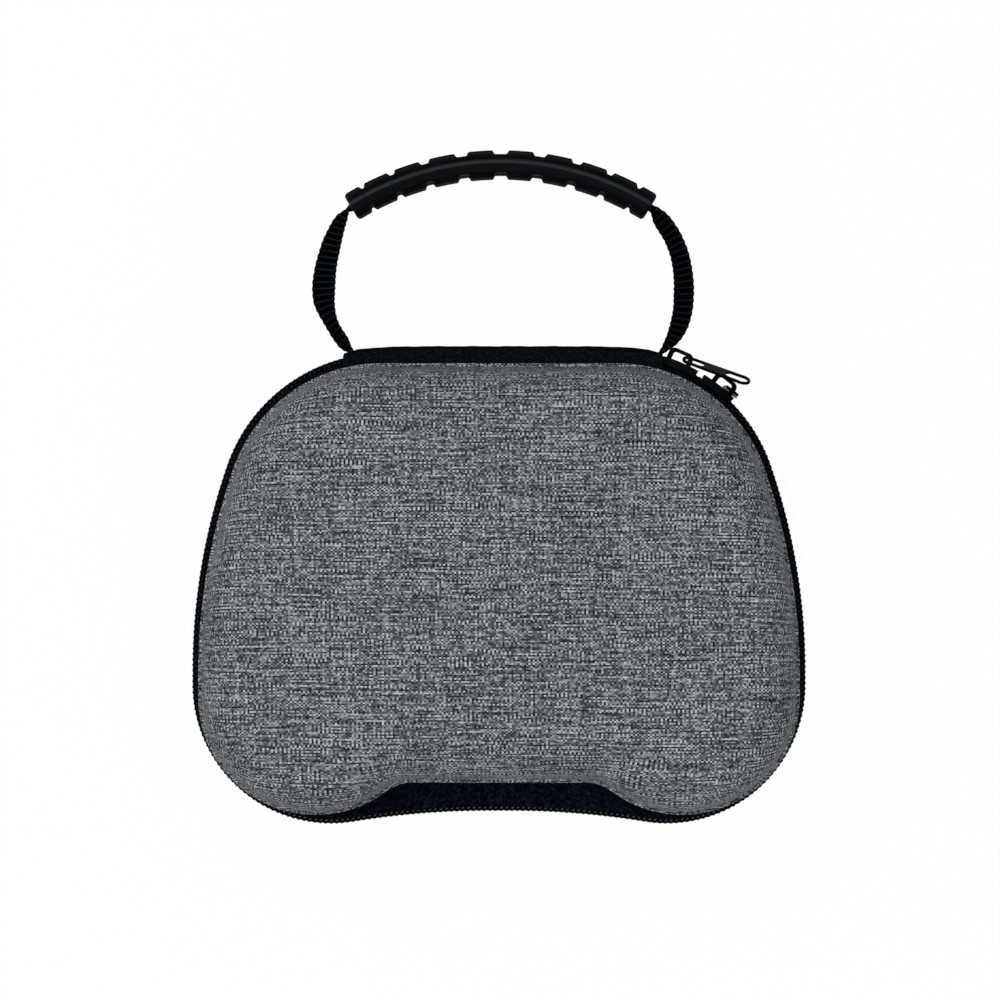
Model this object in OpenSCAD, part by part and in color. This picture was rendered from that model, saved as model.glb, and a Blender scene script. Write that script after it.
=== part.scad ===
// Hard-shell carrying case for a game controller: two moulded shells joined by a zip and a
// fabric spine, with a webbing handle in a moulded grip. It lies on its back shell.

/* [Shell] */
// Depth of the closed case, front face to back face
depth = 75; // [70:1:90]
// Half width of the shell rims at their widest
shell_half_w = 88.2; // [86:0.2:94]
// Height of the rims' top edge above the case centre
shell_top = 66.2; // [65:0.2:70]
// Height at which the side arc ends and the side runs straight
shell_widest_y = -25.5; // [-28:0.5:-22]
// Radius of the upper corners
shell_corner_r = 46; // [42:0.5:50]
// Radius of the long side curves
shell_side_r = 184; // [170:1:220]
// Radius of the two lower lobes, which hold the controller's handles
shell_lobe_r = 34.5; // [32:0.5:36]
// Height of the lobes' centres
shell_lobe_y = -31.7; // [-34:0.1:-30]
// Height of the flat notch between the lobes
shell_notch_y = -56.8; // [-60:0.2:-54]
// Radius that blends the notch into the lobes
shell_notch_r = 12; // [8:0.5:16]
// Thickness of the moulded shell with its cloth
shell_wall = 3.5; // [2.5:0.1:4.5]
// Radius between the shell's wall and its face
face_r = 14; // [10:0.5:16]
// Draft of the shell's wall, in degrees
draft = 7; // [3:0.5:10]
// Height that the face bulges above its edge
crown = 1.2; // [0.6:0.1:2]
// Height of the pressed lip along the rim
lip_h = 1.4; // [1:0.1:2]
// How far the lip stands out from the wall
lip_w = 1; // [0.5:0.1:1.5]

/* [Zip] */
// How far the zip line stands out beside the shells
zip_out = 2.25; // [1.8:0.05:4]
// How far the zip line stands above the shells' top
zip_rise = 3.4; // [2.8:0.1:5]
// Height at which the zip line's side arc ends
zip_widest_y = -24; // [-26:0.5:-22]
// Radius of the zip line's side curves
zip_side_r = 184; // [170:1:220]
// Radius of the zip line round the lobes
zip_lobe_r = 41; // [39:0.5:43]
// Height of the centres of those curves
zip_lobe_y = -28.35; // [-30:0.05:-27]
// Height of the zip line at the middle of the notch
zip_notch_y = -65.6; // [-67:0.2:-64.6]
// Radius of the zip line's shallow hollow there
zip_notch_r = 250; // [200:5:280]
// Height of the cloth band on each side of the zip, rim to middle
band_h = 9; // [8.6:0.1:12]
// Thickness of the zip tape
tape_t = 1; // [0.6:0.1:1.2]
// Half of the gap between the two tapes, under the coils
tape_gap = 1; // [1:0.05:1.3]
// Height at which the tape turns in towards the rim
tape_turn = 5; // [4.8:0.1:5.6]
// Height of the coil above the tape
coil_h = 1.4; // [1.3:0.05:1.6]
// Distance from one turn of a coil to the next
coil_pitch = 1.62; // [1.6:0.02:1.9]
// Thickness of the coil's wire
coil_wire = 0.78; // [0.6:0.02:0.78]
// How far each turn reaches past the middle to mesh
coil_mesh = 0.75; // [0.5:0.05:0.9]
// How far each turn reaches back from the middle
coil_back = 2.75; // [2.4:0.05:2.9]

/* [Sliders] */
// Length of a slider's body
slider_len = 10.6; // [10:0.1:11.4]
// Half width of a slider's body
slider_half_w = 4.4; // [4.2:0.05:4.6]
// Half width of the channel that the coils run in
channel_half_w = 3.3; // [3.1:0.05:3.4]
// Thickness of a slider's plates
plate_t = 1; // [0.8:0.05:1.1]
// Clearance of a slider over the coils and the tapes
slider_gap = 0.15; // [0.1:0.01:0.2]
// Clear length of zip between the two sliders
slider_space = 2; // [1.8:0.1:4]
// Height of the bridge that holds the pull
bridge_h = 3.5; // [3.3:0.1:4]
// Length of the bridge
bridge_len = 7.6; // [7.2:0.1:8]
// Width of the bridge
bridge_w = 1.2; // [1:0.05:1.3]
// Thickness of the bridge's legs
bridge_leg = 1.5; // [1.2:0.05:1.6]
// Thickness of the bridge's top bar
bridge_bar = 1.1; // [0.9:0.05:1.2]
// Length of a pull
pull_len = 21.4; // [18:0.2:24]
// Width of a pull at its eye
pull_eye_w = 4.6; // [4.4:0.1:4.8]
// Width of a pull at its free end
pull_w = 5.4; // [4.4:0.1:5.8]
// Thickness of a pull
pull_t = 0.8; // [0.7:0.05:0.85]
// Angle that the upper pull stands off the zip
pull_lift = 3; // [3:0.5:8]
// Angle that the upper pull leans about its own length
pull_roll = 26; // [20:1:28]
// Angle that the upper pull turns forward, past the lower slider's bridge
pull_yaw = 12; // [11.5:0.5:13]

/* [Spine and handle] */
// Sideways shift of the spine and the handle
handle_shift = 1.2; // [0:0.1:1.5]
// How far the spine reaches past the start of each upper corner
spine_over = 9.9; // [7:0.1:10]
// Height that the spine strip bulges above its edges
spine_bulge = 1.5; // [0.8:0.1:4]
// Thickness of the spine strip
spine_t = 1.2; // [0.9:0.05:1.3]
// Width of the webbing
strap_w = 15; // [12:0.5:15]
// Thickness of the webbing
strap_t = 1.5; // [1.2:0.05:1.6]
// Largest twist of the webbing, in degrees
strap_twist = 19; // [0:1:25]
// How far the handle swells out past the spine's ends
handle_swell = 9.8; // [8:0.1:12]
// Height above the spine at which the handle is widest
handle_belly = 17.4; // [15:0.2:22]
// Height of the grip's middle above the spine
handle_rise = 55.3; // [52:0.2:64]
// Radius of the grip's curve
grip_curve_r = 83.4; // [80:0.2:90]
// How far each end of the grip stands in from the handle's widest line
grip_in = 9.6; // [9.6:0.1:14]
// Height of the grip's section
grip_h = 8; // [7:0.1:10]
// Width of the grip's section
grip_w = 20; // [18.5:0.1:24]
// Depth of the finger notches
notch_depth = 1.3; // [0.8:0.1:1.8]
// Number of finger notches on each side of the grip
notches = 9; // [5:1:11]

/* [Hidden] */
$fn = 48;

mid_z = depth / 2;
seat = 0.1;
cloth_gap = 0.2;
zip_half_w = shell_half_w + zip_out;
zip_top = shell_top + zip_rise;
zip_corner_r = shell_corner_r + zip_rise;
tape_r = zip_corner_r - coil_h;
fold_z = band_h - 1;
fold_y = zip_top + 0.1;
base_y = zip_top + 0.8;
tail_y = fold_y - 1.8;
widest_strap_y = zip_top + handle_belly;
grip_y = zip_top + handle_rise;

// An outline is half width, top, widest y, corner r, side r, lobe r, lobe y, notch y, notch r.
shell_line = [shell_half_w, shell_top, shell_widest_y, shell_corner_r, shell_side_r,
    shell_lobe_r, shell_lobe_y, shell_notch_y, shell_notch_r];
zip_line = [zip_half_w, zip_top, zip_widest_y, zip_corner_r, zip_side_r,
    zip_lobe_r, zip_lobe_y, zip_notch_y, zip_notch_r];

function half_w(o) = o[0];
function top_y(o) = o[1];
function widest_y(o) = o[2];
function corner_r(o) = o[3];
function side_r(o) = o[4];
function lobe_r(o) = o[5];
function lobe_y(o) = o[6];
function notch_y(o) = o[7];
function notch_r(o) = o[8];

// The same outline drawn a distance e further in, with every arc about the same centre.
function inset(o, e) = [half_w(o) - e, top_y(o) - e, widest_y(o), corner_r(o) - e, side_r(o) - e,
    lobe_r(o) - e, lobe_y(o), notch_y(o) + e, notch_r(o) + e];

function mix(a, b, t) = a + (b - a) * t;
function polar(c, r, a) = c + r * [cos(a), sin(a)];
function arc(c, r, a, b, n) = [for (i = [0:n - 1]) polar(c, r, mix(a, b, i / n))];

function side_c(o) = [half_w(o) - side_r(o), widest_y(o)];
function lobe_c(o) = [half_w(o) - lobe_r(o), lobe_y(o)];
function corner_c(o) = let (rise = top_y(o) - corner_r(o) - widest_y(o))
    [side_c(o).x + sqrt(pow(side_r(o) - corner_r(o), 2) - rise * rise), top_y(o) - corner_r(o)];
function notch_c(o) = let (y = notch_y(o) - notch_r(o), drop = lobe_y(o) - y)
    [lobe_c(o).x - sqrt(pow(lobe_r(o) + notch_r(o), 2) - drop * drop), y];
function angle_to(a, b) = atan2(b.y - a.y, b.x - a.x);
function side_turn(o) = angle_to(side_c(o), corner_c(o));
function notch_turn(o) = angle_to(lobe_c(o), notch_c(o));
function end_turn(o, x) = acos((x - corner_c(o).x) / corner_r(o));

// Point of the notch at a share t of the way from the middle to where the lobe's arc takes over.
function notch_point(o, t) = let (c = notch_c(o), x = t * polar(lobe_c(o), lobe_r(o), notch_turn(o)).x)
    [x, x < c.x ? notch_y(o) : c.y + sqrt(pow(notch_r(o), 2) - pow(x - c.x, 2))];

// Right half of an outline, from the middle of the notch round to the middle of the top.
function half_outline(o, x_end) = concat(
    [for (t = [0, 0.4, 0.74, 0.82, 0.88, 0.94]) notch_point(o, t)],
    arc(lobe_c(o), lobe_r(o), notch_turn(o), 0, 13),
    [[half_w(o), lobe_y(o)]],
    arc(side_c(o), side_r(o), 0, side_turn(o), 8),
    arc(corner_c(o), corner_r(o), side_turn(o), end_turn(o, x_end), 8),
    arc(corner_c(o), corner_r(o), end_turn(o, x_end), 90, 2),
    [[corner_c(o).x, top_y(o)], [corner_c(o).x / 2, top_y(o)]]);

spine_half = corner_c(zip_line).x + spine_over;
zip_end = spine_half + 2.8;
handle_half_w = spine_half + handle_swell;

half_n = 40;
ring_n = 2 * half_n;
end_i = 36;

function outline(o) =
    let (right = half_outline(o, zip_end + handle_shift))
    let (left = half_outline(o, zip_end - handle_shift))
    concat(right, [[0, top_y(o)]], [for (i = [half_n - 1:-1:1]) [-left[i].x, left[i].y]]);

// The stretch of an outline that carries the zip, from its left end round to its right end.
function zip_path(o) = let (all = outline(o))
    [for (i = [-end_i:end_i]) all[(i + ring_n) % ring_n]];

function lift(ring, z) = [for (p = ring) [p.x, p.y, z]];
function flat(rings) = [for (r = rings) each r];

// Triangles between two neighbouring rings of n points, the first of which starts at k.
function strip(k, n) = [for (i = [0:n - 1]) let (j = (i + 1) % n)
    each [[k + i, k + j, k + n + i], [k + j, k + n + j, k + n + i]]];

// Solid through a row of rings, with a flat cap on each end.
module loft(rings) {
    n = len(rings[0]);
    m = len(rings);
    polyhedron(flat(rings), concat(
        [for (k = [0:m - 2]) each strip(k * n, n)],
        [[for (i = [n - 1:-1:0]) i]],
        [[for (i = [0:n - 1]) (m - 1) * n + i]]));
}

// Solid through a row of rings that ends in a point above the first and last ring.
module domed_loft(rings, first, last) {
    n = len(rings[0]);
    m = len(rings);
    polyhedron(concat(flat(rings), [first, last]), concat(
        [for (k = [0:m - 2]) each strip(k * n, n)],
        [for (i = [0:n - 1]) [m * n, (i + 1) % n, i]],
        [for (i = [0:n - 1]) [m * n + 1, (m - 1) * n + i, (m - 1) * n + (i + 1) % n]]));
}

// Solid band through a closed row of sections.
module hoop(sections) {
    n = len(sections[0]);
    m = len(sections);
    polyhedron(flat(sections), [for (k = [0:m - 1]) for (i = [0:n - 1])
        let (a = k * n + i, b = k * n + (i + 1) % n, step = ((k + 1) % m - k) * n)
        each [[a, b, a + step], [b, b + step, a + step]]]);
}

module front_half() translate([0, 0, mid_z]) children();
module back_half() translate([0, 0, mid_z]) mirror([0, 0, 1]) children();

// Shells: a lip, a drafted wall, a rounded edge and a shallow crown that is flat in the middle.
shell_h = mid_z - band_h;
face_z = shell_h - crown;
round_end = 88;
round_z = face_z - face_r * sin(round_end);
lip_top = lip_h + lip_w * 0.6;
round_in = lip_w + tan(draft) * (round_z + face_r * sin(draft) - lip_top) + face_r * cos(draft);
// Each crown ring is a share of the face's size, of the way to an oval, and of the crown's height.
crown_rings = [[0.78, 0.45, 0.7], [0.5, 1, 1]];
oval_w = 68;
oval_h = 48;

function round_point(r, a) = [round_in - r * cos(a), round_z + r * sin(a)];
function round_points(r, n) = [for (i = [0:n]) round_point(r, mix(draft, round_end, i / n))];
function wall_in(t, z) = let (p = round_point(face_r - t, draft)) p[0] - tan(draft) * (p[1] - z);
function shell_ring(p) = lift(outline(inset(shell_line, p[0])), band_h + p[1]);
function to_oval(q) = q / sqrt(pow(q.x / oval_w, 2) + pow(q.y / oval_h, 2));
function crown_ring(p, c) = [for (q = outline(inset(shell_line, p[0])))
    concat(c[0] * mix(q, to_oval(q), c[1]), band_h + p[1] + crown * c[2])];

function skin_rings(foot, rounding) = let (edge = rounding[len(rounding) - 1])
    concat([for (p = concat(foot, rounding)) shell_ring(p)], [for (c = crown_rings) crown_ring(edge, c)]);
function reversed(v) = [for (i = [len(v) - 1:-1:0]) v[i]];

module shell() {
    outer = round_points(face_r, 6);
    inner = round_points(face_r - shell_wall, 4);
    outside = skin_rings([[0, 0], [0, lip_h], [lip_w, lip_top]], outer);
    inside = skin_rings([[wall_in(shell_wall, 0), 0]], inner);
    domed_loft(concat(reversed(outside), inside),
        [0, 0, outside[len(outside) - 1][0].z], [0, 0, inside[len(inside) - 1][0].z]);
}

module back_shell() color([0.42, 0.43, 0.45]) back_half() shell();
module front_shell() color([0.42, 0.43, 0.45]) front_half() shell();

// Bindings: a ribbon inside each rim, with a hem under the rim that the spine folds on.
binding_h = 3.4;
binding_t = 1;
hem_t = 0.8;
hem_low = fold_z + seat;

module rim_binding() {
    low_in = wall_in(shell_wall, 0) + cloth_gap;
    high_in = wall_in(shell_wall, binding_h) + cloth_gap;
    low = outline(inset(shell_line, low_in));
    high = outline(inset(shell_line, high_in));
    low_back = outline(inset(shell_line, low_in + binding_t));
    high_back = outline(inset(shell_line, high_in + binding_t));
    hoop([for (i = [0:ring_n - 1]) [
        [low[i].x, low[i].y, hem_low], [high[i].x, high[i].y, band_h + binding_h],
        [high_back[i].x, high_back[i].y, band_h + binding_h], [low_back[i].x, low_back[i].y, hem_low]]]);
    hem_y = shell_top - low_in - binding_t / 2;
    translate([handle_shift - spine_half, hem_y, hem_low])
        cube([2 * spine_half, fold_y - seat - hem_y, hem_t]);
}

module back_rim_binding() color([0.08, 0.08, 0.09]) back_half() rim_binding();
module front_rim_binding() color([0.08, 0.08, 0.09]) front_half() rim_binding();

// Zip tapes: flat under the coil, then turned in and hemmed under the rim. The front tape's end
// under the sliders is a piece of its own, since the cloth bends there as the case opens. Both
// pieces end on a radial cut through the corner.
rim_in = 0.3;
hem_in = 3.9;
turn_r = 0.4;
flex_gap = 0.3;

function beside(p, a) = let (q = p - arc_c) q.y * cos(a) - q.x * sin(a);
function cut_at(path, i, a) = let (u = beside(path[i], a), v = beside(path[i + 1], a))
    mix(path[i], path[i + 1], u / (u - v));
function tape_row(path, piece) = piece == "whole" ? path
    : piece == "main" ? concat([for (i = [0:flex_i]) path[i]], [cut_at(path, flex_i, flex_turn)])
    : concat([cut_at(path, flex_i, flex_turn + flex_gap)], [for (i = [flex_i + 1:2 * end_i]) path[i]]);

module zip_tape(piece) {
    face = tape_row(zip_path(inset(zip_line, coil_h)), piece);
    back = tape_row(zip_path(inset(zip_line, coil_h + tape_t)), piece);
    rim = tape_row(zip_path(inset(shell_line, rim_in)), piece);
    hem = tape_row(zip_path(inset(shell_line, hem_in)), piece);
    high = band_h - seat;
    loft([for (i = [0:len(face) - 1]) [
        [face[i].x, face[i].y, tape_gap], [face[i].x, face[i].y, tape_turn],
        [rim[i].x, rim[i].y, high], [hem[i].x, hem[i].y, high], [hem[i].x, hem[i].y, high - tape_t],
        [back[i].x, back[i].y, tape_turn - turn_r], [back[i].x, back[i].y, tape_gap]]]);
}

module back_zip_tape() color([0.05, 0.05, 0.06]) back_half() zip_tape("whole");
module front_zip_tape() color([0.05, 0.05, 0.06]) front_half() zip_tape("main");
module front_tape_end() color([0.05, 0.05, 0.06]) front_half() zip_tape("end");

// Sliders run on the right upper corner's arc. Angles are about that arc's centre.
arc_c = corner_c(zip_line);
slider_turn = slider_len / 2 / tape_r * 180 / PI;
upper_turn = end_turn(inset(zip_line, coil_h), zip_end + handle_shift) - slider_turn - 0.3;
lower_turn = upper_turn - 2 * slider_turn - slider_space / tape_r * 180 / PI;
flex_turn = lower_turn - slider_turn - 2.4;
flex_i = max([for (i = [end_i:2 * end_i - 1]) if (beside(zip_path(inset(zip_line, coil_h))[i], flex_turn) < 0) i]);

// Coils: wire turns at an even pitch, on a cord sewn to the tape.
coil_line = inset(zip_line, coil_wire / 2 + 0.01);
arc_deg = 180 / PI;
notch_len = notch_r(coil_line) * (90 - notch_turn(coil_line) - 180) / arc_deg;
lobe_len = lobe_r(coil_line) * -notch_turn(coil_line) / arc_deg;
straight_len = widest_y(coil_line) - lobe_y(coil_line);
side_len = side_r(coil_line) * side_turn(coil_line) / arc_deg;
leg_ends = [notch_c(coil_line).x, notch_len, lobe_len, straight_len, side_len];
function sum_to(v, n) = n == 0 ? 0 : v[n - 1] + sum_to(v, n - 1);

// Place and outward angle of the point a length s along the coil from the middle of the notch.
function coil_at(s) = let (o = coil_line, e = [for (n = [1:5]) sum_to(leg_ends, n)])
    s < e[0] ? [s, notch_y(o), -90]
    : s < e[1] ? let (a = 90 - (s - e[0]) / notch_r(o) * arc_deg) concat(polar(notch_c(o), notch_r(o), a), a + 180)
    : s < e[2] ? let (a = notch_turn(o) + (s - e[1]) / lobe_r(o) * arc_deg) concat(polar(lobe_c(o), lobe_r(o), a), a)
    : s < e[3] ? [half_w(o), lobe_y(o) + s - e[2], 0]
    : s < e[4] ? let (a = (s - e[3]) / side_r(o) * arc_deg) concat(polar(side_c(o), side_r(o), a), a)
    : let (a = side_turn(o) + (s - e[4]) / corner_r(o) * arc_deg) concat(polar(corner_c(o), corner_r(o), a), a);

function coil_len(x_end) = sum_to(leg_ends, 5)
    + corner_r(coil_line) * (end_turn(coil_line, x_end) - side_turn(coil_line)) / arc_deg;

// The turns between the two sliders stand apart, so that the sliders' wedges pass them.
function is_parted(p) = p[0] > 0 && angle_to(arc_c, p) > lower_turn - 1 && angle_to(arc_c, p) < upper_turn + 1;

module coil_side(x_end, offset, side) {
    for (i = [0:floor((coil_len(x_end) - offset) / coil_pitch - 0.5)]) {
        p = coil_at(offset + i * coil_pitch);
        foot = is_parted([side * p[0], p[1]]) ? tape_gap + 0.15 : -coil_mesh;
        translate([side * p[0], p[1], foot])
            cylinder(r = coil_wire / 2, h = coil_back - foot, $fn = 16);
    }
}

module coil(offset) {
    coil_side(zip_end + handle_shift, offset, 1);
    coil_side(zip_end - handle_shift, offset == 0 ? coil_pitch : offset, -1);
    face = zip_path(inset(zip_line, coil_h - 0.05));
    back = zip_path(inset(zip_line, coil_wire + 0.07));
    translate([0, 0, tape_gap + 0.1])
        linear_extrude(coil_back - tape_gap - 0.2) polygon(concat(face, reversed(back)));
}

module back_zip_coil() color([0.09, 0.09, 0.11]) back_half() coil(0);
module front_zip_coil() color([0.09, 0.09, 0.11]) front_half() coil(coil_pitch / 2);

// Spine: a bulged strip and a flat lining, with the ends of the webbing between them.
spine_edge_y = fold_y + 0.3;
spine_half_w = fold_z - 0.2;

function bulge(u) = spine_bulge * (1 - 0.7 * pow(u, 6));

module spine_strip() color([0.07, 0.07, 0.08]) translate([handle_shift, 0, mid_z])
    loft([for (i = [-8:8]) let (u = sin(i / 8 * 90), b = bulge(abs(u))) concat(
        [for (k = [-4:4]) [spine_half * u, spine_edge_y + b * (1 - pow(k / 4, 2)), spine_half_w * k / 4]],
        [for (k = [4:-1:-4])
            [spine_half * u, spine_edge_y - spine_t + b * (1 - pow(k / 4, 2)), spine_half_w * k / 4]])]);

lining_t = 1;

module spine_lining() color([0.1, 0.1, 0.11])
    translate([handle_shift - spine_half, tail_y - strap_t / 2 - cloth_gap - lining_t, mid_z - spine_half_w])
        cube([2 * spine_half, lining_t, 2 * spine_half_w]);

// Handle: the webbing leaves the spine, swells outward and enters the grip, half on each side.
grip_c = [0, grip_y - grip_curve_r];
grip_angle = asin((handle_half_w - grip_in) / grip_curve_r);
kink_angle = 90 - grip_angle - 1.2;
belly = [handle_half_w, widest_strap_y];
base = [spine_half + 3, base_y];

// Radius of the arc that leaves the belly upright and passes through p.
function belly_r(p) = let (d = belly - p) (d * d) / (2 * d.x);
lower_r = belly_r(base);
upper_r = belly_r(polar(grip_c, grip_curve_r, kink_angle));
lower_c = belly - [lower_r, 0];
upper_c = belly - [upper_r, 0];
base_angle = angle_to(lower_c, base);
tail_bend_r = 2.5;
tail_turn = base_angle + 90;
tail_corner = base.x - (base.y - tail_y) / tan(tail_turn);
tail_start = tail_corner - tail_bend_r * tan(tail_turn / 2);
tail_len = 9;
upper_end = angle_to(upper_c, polar(grip_c, grip_curve_r, kink_angle));

strap_tail = concat([[tail_start - tail_len, tail_y, 0]],
    [for (p = arc([tail_start, tail_y + tail_bend_r], tail_bend_r, -90, tail_turn - 90, 4)) [p.x, p.y, 0]],
    [concat(polar([tail_start, tail_y + tail_bend_r], tail_bend_r, tail_turn - 90), 0)]);
strap_lower = [for (i = [0:8]) concat(polar(lower_c, lower_r, mix(base_angle, 0, i / 8)), 0.5 * i / 8)];
strap_upper = [for (i = [1:9]) concat(polar(upper_c, upper_r, mix(0, upper_end, i / 10)), 0.5 + 0.5 * i / 10)];
strap_inner = [for (i = [0:9]) concat(polar(grip_c, grip_curve_r, mix(kink_angle, 90, i / 9)), 0)];
strap_half = concat(strap_tail, strap_lower, strap_upper, strap_inner);
strap_n = len(strap_half);
strap_line = concat(strap_half, [for (i = [strap_n - 2:-1:0]) [-strap_half[i].x, strap_half[i].y, -strap_half[i][2]]]);

function ahead(v, i) = v[min(i + 1, len(v) - 1)] - v[max(i - 1, 0)];
function along(v, i) = let (d = ahead(v, i)) [d.x, d.y] / norm([d.x, d.y]);

// Section of the webbing at point i: its width lies along z, turned about its path by the twist.
function strap_ring(i) =
    let (p = strap_line[i], t = along(strap_line, i), out = [t.y, -t.x])
    let (twist = strap_twist * sin(180 * p[2]))
    let (w = [out.x * sin(twist), out.y * sin(twist), cos(twist)])
    let (n = [out.x * cos(twist), out.y * cos(twist), -sin(twist)])
    [for (c = [[-0.5, -0.3], [-0.5, 0.3], [-0.46, 0.5], [0.46, 0.5], [0.5, 0.3], [0.5, -0.3], [0.46, -0.5], [-0.46, -0.5]])
        [p.x, p.y, 0] + w * strap_w * c[0] + n * strap_t * c[1]];

module handle_strap() color([0.06, 0.06, 0.07]) translate([handle_shift, 0, mid_z])
    loft([for (i = [0:len(strap_line) - 1]) strap_ring(i)]);

slot_gap = 0.2;
notch_step = 2 * grip_angle / (notches + 0.4);
notch_half = 0.22 * notch_step;

module grip_section() {
    difference() {
        union() {
            square([grip_h, grip_w - grip_h], center = true);
            for (s = [-1, 1]) translate([0, s * (grip_w - grip_h) / 2]) circle(grip_h / 2);
        }
        square([strap_t + 2 * slot_gap, strap_w + 2 * slot_gap], center = true);
    }
}

module grip_notch(angle, r) {
    rotate([0, 0, angle]) translate([r, 0, 0])
        cube([2 * notch_depth, 2 * notch_half * r * PI / 180, grip_w + 2], center = true);
}

module handle_grip() color([0.09, 0.09, 0.1]) translate([handle_shift, grip_c.y, mid_z])
    difference() {
        rotate([0, 0, 90 - grip_angle]) rotate_extrude(angle = 2 * grip_angle, $fn = 96)
            translate([grip_curve_r, 0]) grip_section();
        for (i = [0:notches - 1]) let (a = 90 + (i - (notches - 1) / 2) * notch_step) {
            grip_notch(a, grip_curve_r + grip_h / 2);
            grip_notch(a, grip_curve_r - grip_h / 2);
        }
    }

// Sliders, drawn about the arc's centre with x outward, the mouth towards -y and the tail to +y.
plate_low = tape_r + coil_h + slider_gap;
plate_top = plate_low + plate_t;
flange_low = tape_r + 0.3;
under_top = tape_r - tape_t - 0.4;
under_low = under_top - 0.9;
wedge_half_w = tape_gap - 0.15;
wedge_tip = 0.3;
wedge_low = -3;
wedge_high = -1;
mouth_y = 1;
mouth_in = 0.7;
bridge_c = 0.8;
bridge_sink = 0.3;
bridge_r = 1.8;

module swept(section) {
    rotate([0, 0, -slider_turn]) rotate_extrude(angle = 2 * slider_turn, $fn = 360) polygon(section);
}

module side_on(points, low, high) {
    translate([low, 0, 0]) rotate([90, 0, 90]) linear_extrude(high - low) polygon(points);
}

module rounded(h, l, r) {
    translate([0, -l / 2]) square([h - r, l]);
    translate([0, r - l / 2]) square([h, l - 2 * r]);
    for (s = [-1, 1]) translate([h - r, s * (l / 2 - r)]) circle(r);
}

module slider() {
    w = slider_half_w;
    c = channel_half_w;
    l = slider_len / 2 + 1;
    intersection() {
        union() {
            swept([[flange_low, -w], [plate_top, -w], [plate_top, w], [flange_low, w],
                [flange_low, c], [plate_low, c], [plate_low, -c], [flange_low, -c]]);
            swept([[under_low, -w], [under_top, -w], [under_top, w], [under_low, w]]);
            intersection() {
                swept([[under_low, -w], [plate_top, -w], [plate_top, w], [under_low, w]]);
                side_on([[-l, -wedge_half_w], [-l, wedge_half_w], [wedge_low, wedge_half_w],
                    [wedge_high, wedge_tip], [wedge_high, -wedge_tip], [wedge_low, -wedge_half_w]],
                    under_low, plate_top);
            }
        }
        side_on([[-l, -w], [-l, w], [mouth_y, w], [l, w - mouth_in], [l, mouth_in - w], [mouth_y, -w]],
            under_low - 1, plate_top + 1);
    }
    translate([plate_top - bridge_sink, bridge_c, -bridge_w / 2]) linear_extrude(bridge_w) difference() {
        rounded(bridge_h + bridge_sink, bridge_len, bridge_r);
        translate([bridge_sink, 0]) rounded(bridge_h - bridge_bar, bridge_len - 2 * bridge_leg, bridge_r / 2);
    }
}

module on_zip(angle) translate([arc_c.x, arc_c.y, mid_z]) rotate([0, 0, angle]) children();

module upper_slider() color([0.1, 0.1, 0.11]) on_zip(upper_turn) slider();
module lower_slider() color([0.1, 0.1, 0.11]) on_zip(lower_turn) mirror([0, 1, 0]) slider();

// A pull lies along +x from the bar of its eye, with its width along y.
eye_bar = 0.8;
eye_len = 6.2;
slot_len = 7;
limb = 0.75;
tuck = 0.04;

// A tapered plate from x = 0 to l, with round ends of widths a and b and sides a tuck inside them.
module tapered(l, a, b) {
    translate([a / 2, 0]) circle(a / 2);
    translate([l - b / 2, 0]) circle(b / 2);
    polygon([[a / 2, tuck - a / 2], [l - b / 2, tuck - b / 2], [l - b / 2, b / 2 - tuck], [a / 2, a / 2 - tuck]]);
}

module pull() {
    translate([-eye_bar / 2, 0, -pull_t / 2]) linear_extrude(pull_t) difference() {
        tapered(pull_len, pull_eye_w, pull_w);
        translate([eye_bar, 0]) tapered(eye_len, pull_eye_w - 2 * limb, pull_eye_w - 2 * limb + 0.1);
        translate([pull_len - limb - slot_len, 0]) tapered(slot_len, pull_w - 2 * limb - 0.4, pull_w - 2 * limb);
    }
}

// The upper pull's bar stands in the upper corner of the bridge's opening, nearest the mouth.
opening_half = bridge_len / 2 - bridge_leg;
bar_top_room = 0.92;
bar_leg_room = 1.2;
upper_pin = [plate_top + bridge_h - bridge_bar - bar_top_room, bridge_c - opening_half + bar_leg_room];

module upper_slider_pull() color([0.08, 0.08, 0.09]) on_zip(upper_turn)
    translate([upper_pin.x, upper_pin.y, 0]) rotate([0, 0, pull_lift - 90]) rotate([0, -pull_yaw, 0])
        rotate([90 + pull_roll, 0, 0]) pull();

// The lower pull lies flat round the tail leg of its bridge and hangs over the back of the case.
leg_room = 0.35;
lower_pin = [plate_top + 1.2, -bridge_c - bridge_len / 2 + bridge_leg / 2, (bridge_w + eye_bar) / 2 + leg_room];

module lower_slider_pull() color([0.08, 0.08, 0.09]) on_zip(lower_turn)
    translate(lower_pin) rotate([0, 90, 0]) pull();

back_shell();
front_shell();
back_rim_binding();
front_rim_binding();
back_zip_tape();
front_zip_tape();
front_tape_end();
back_zip_coil();
front_zip_coil();
spine_strip();
spine_lining();
handle_strap();
handle_grip();
upper_slider();
upper_slider_pull();
lower_slider();
lower_slider_pull();
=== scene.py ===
import math

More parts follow.
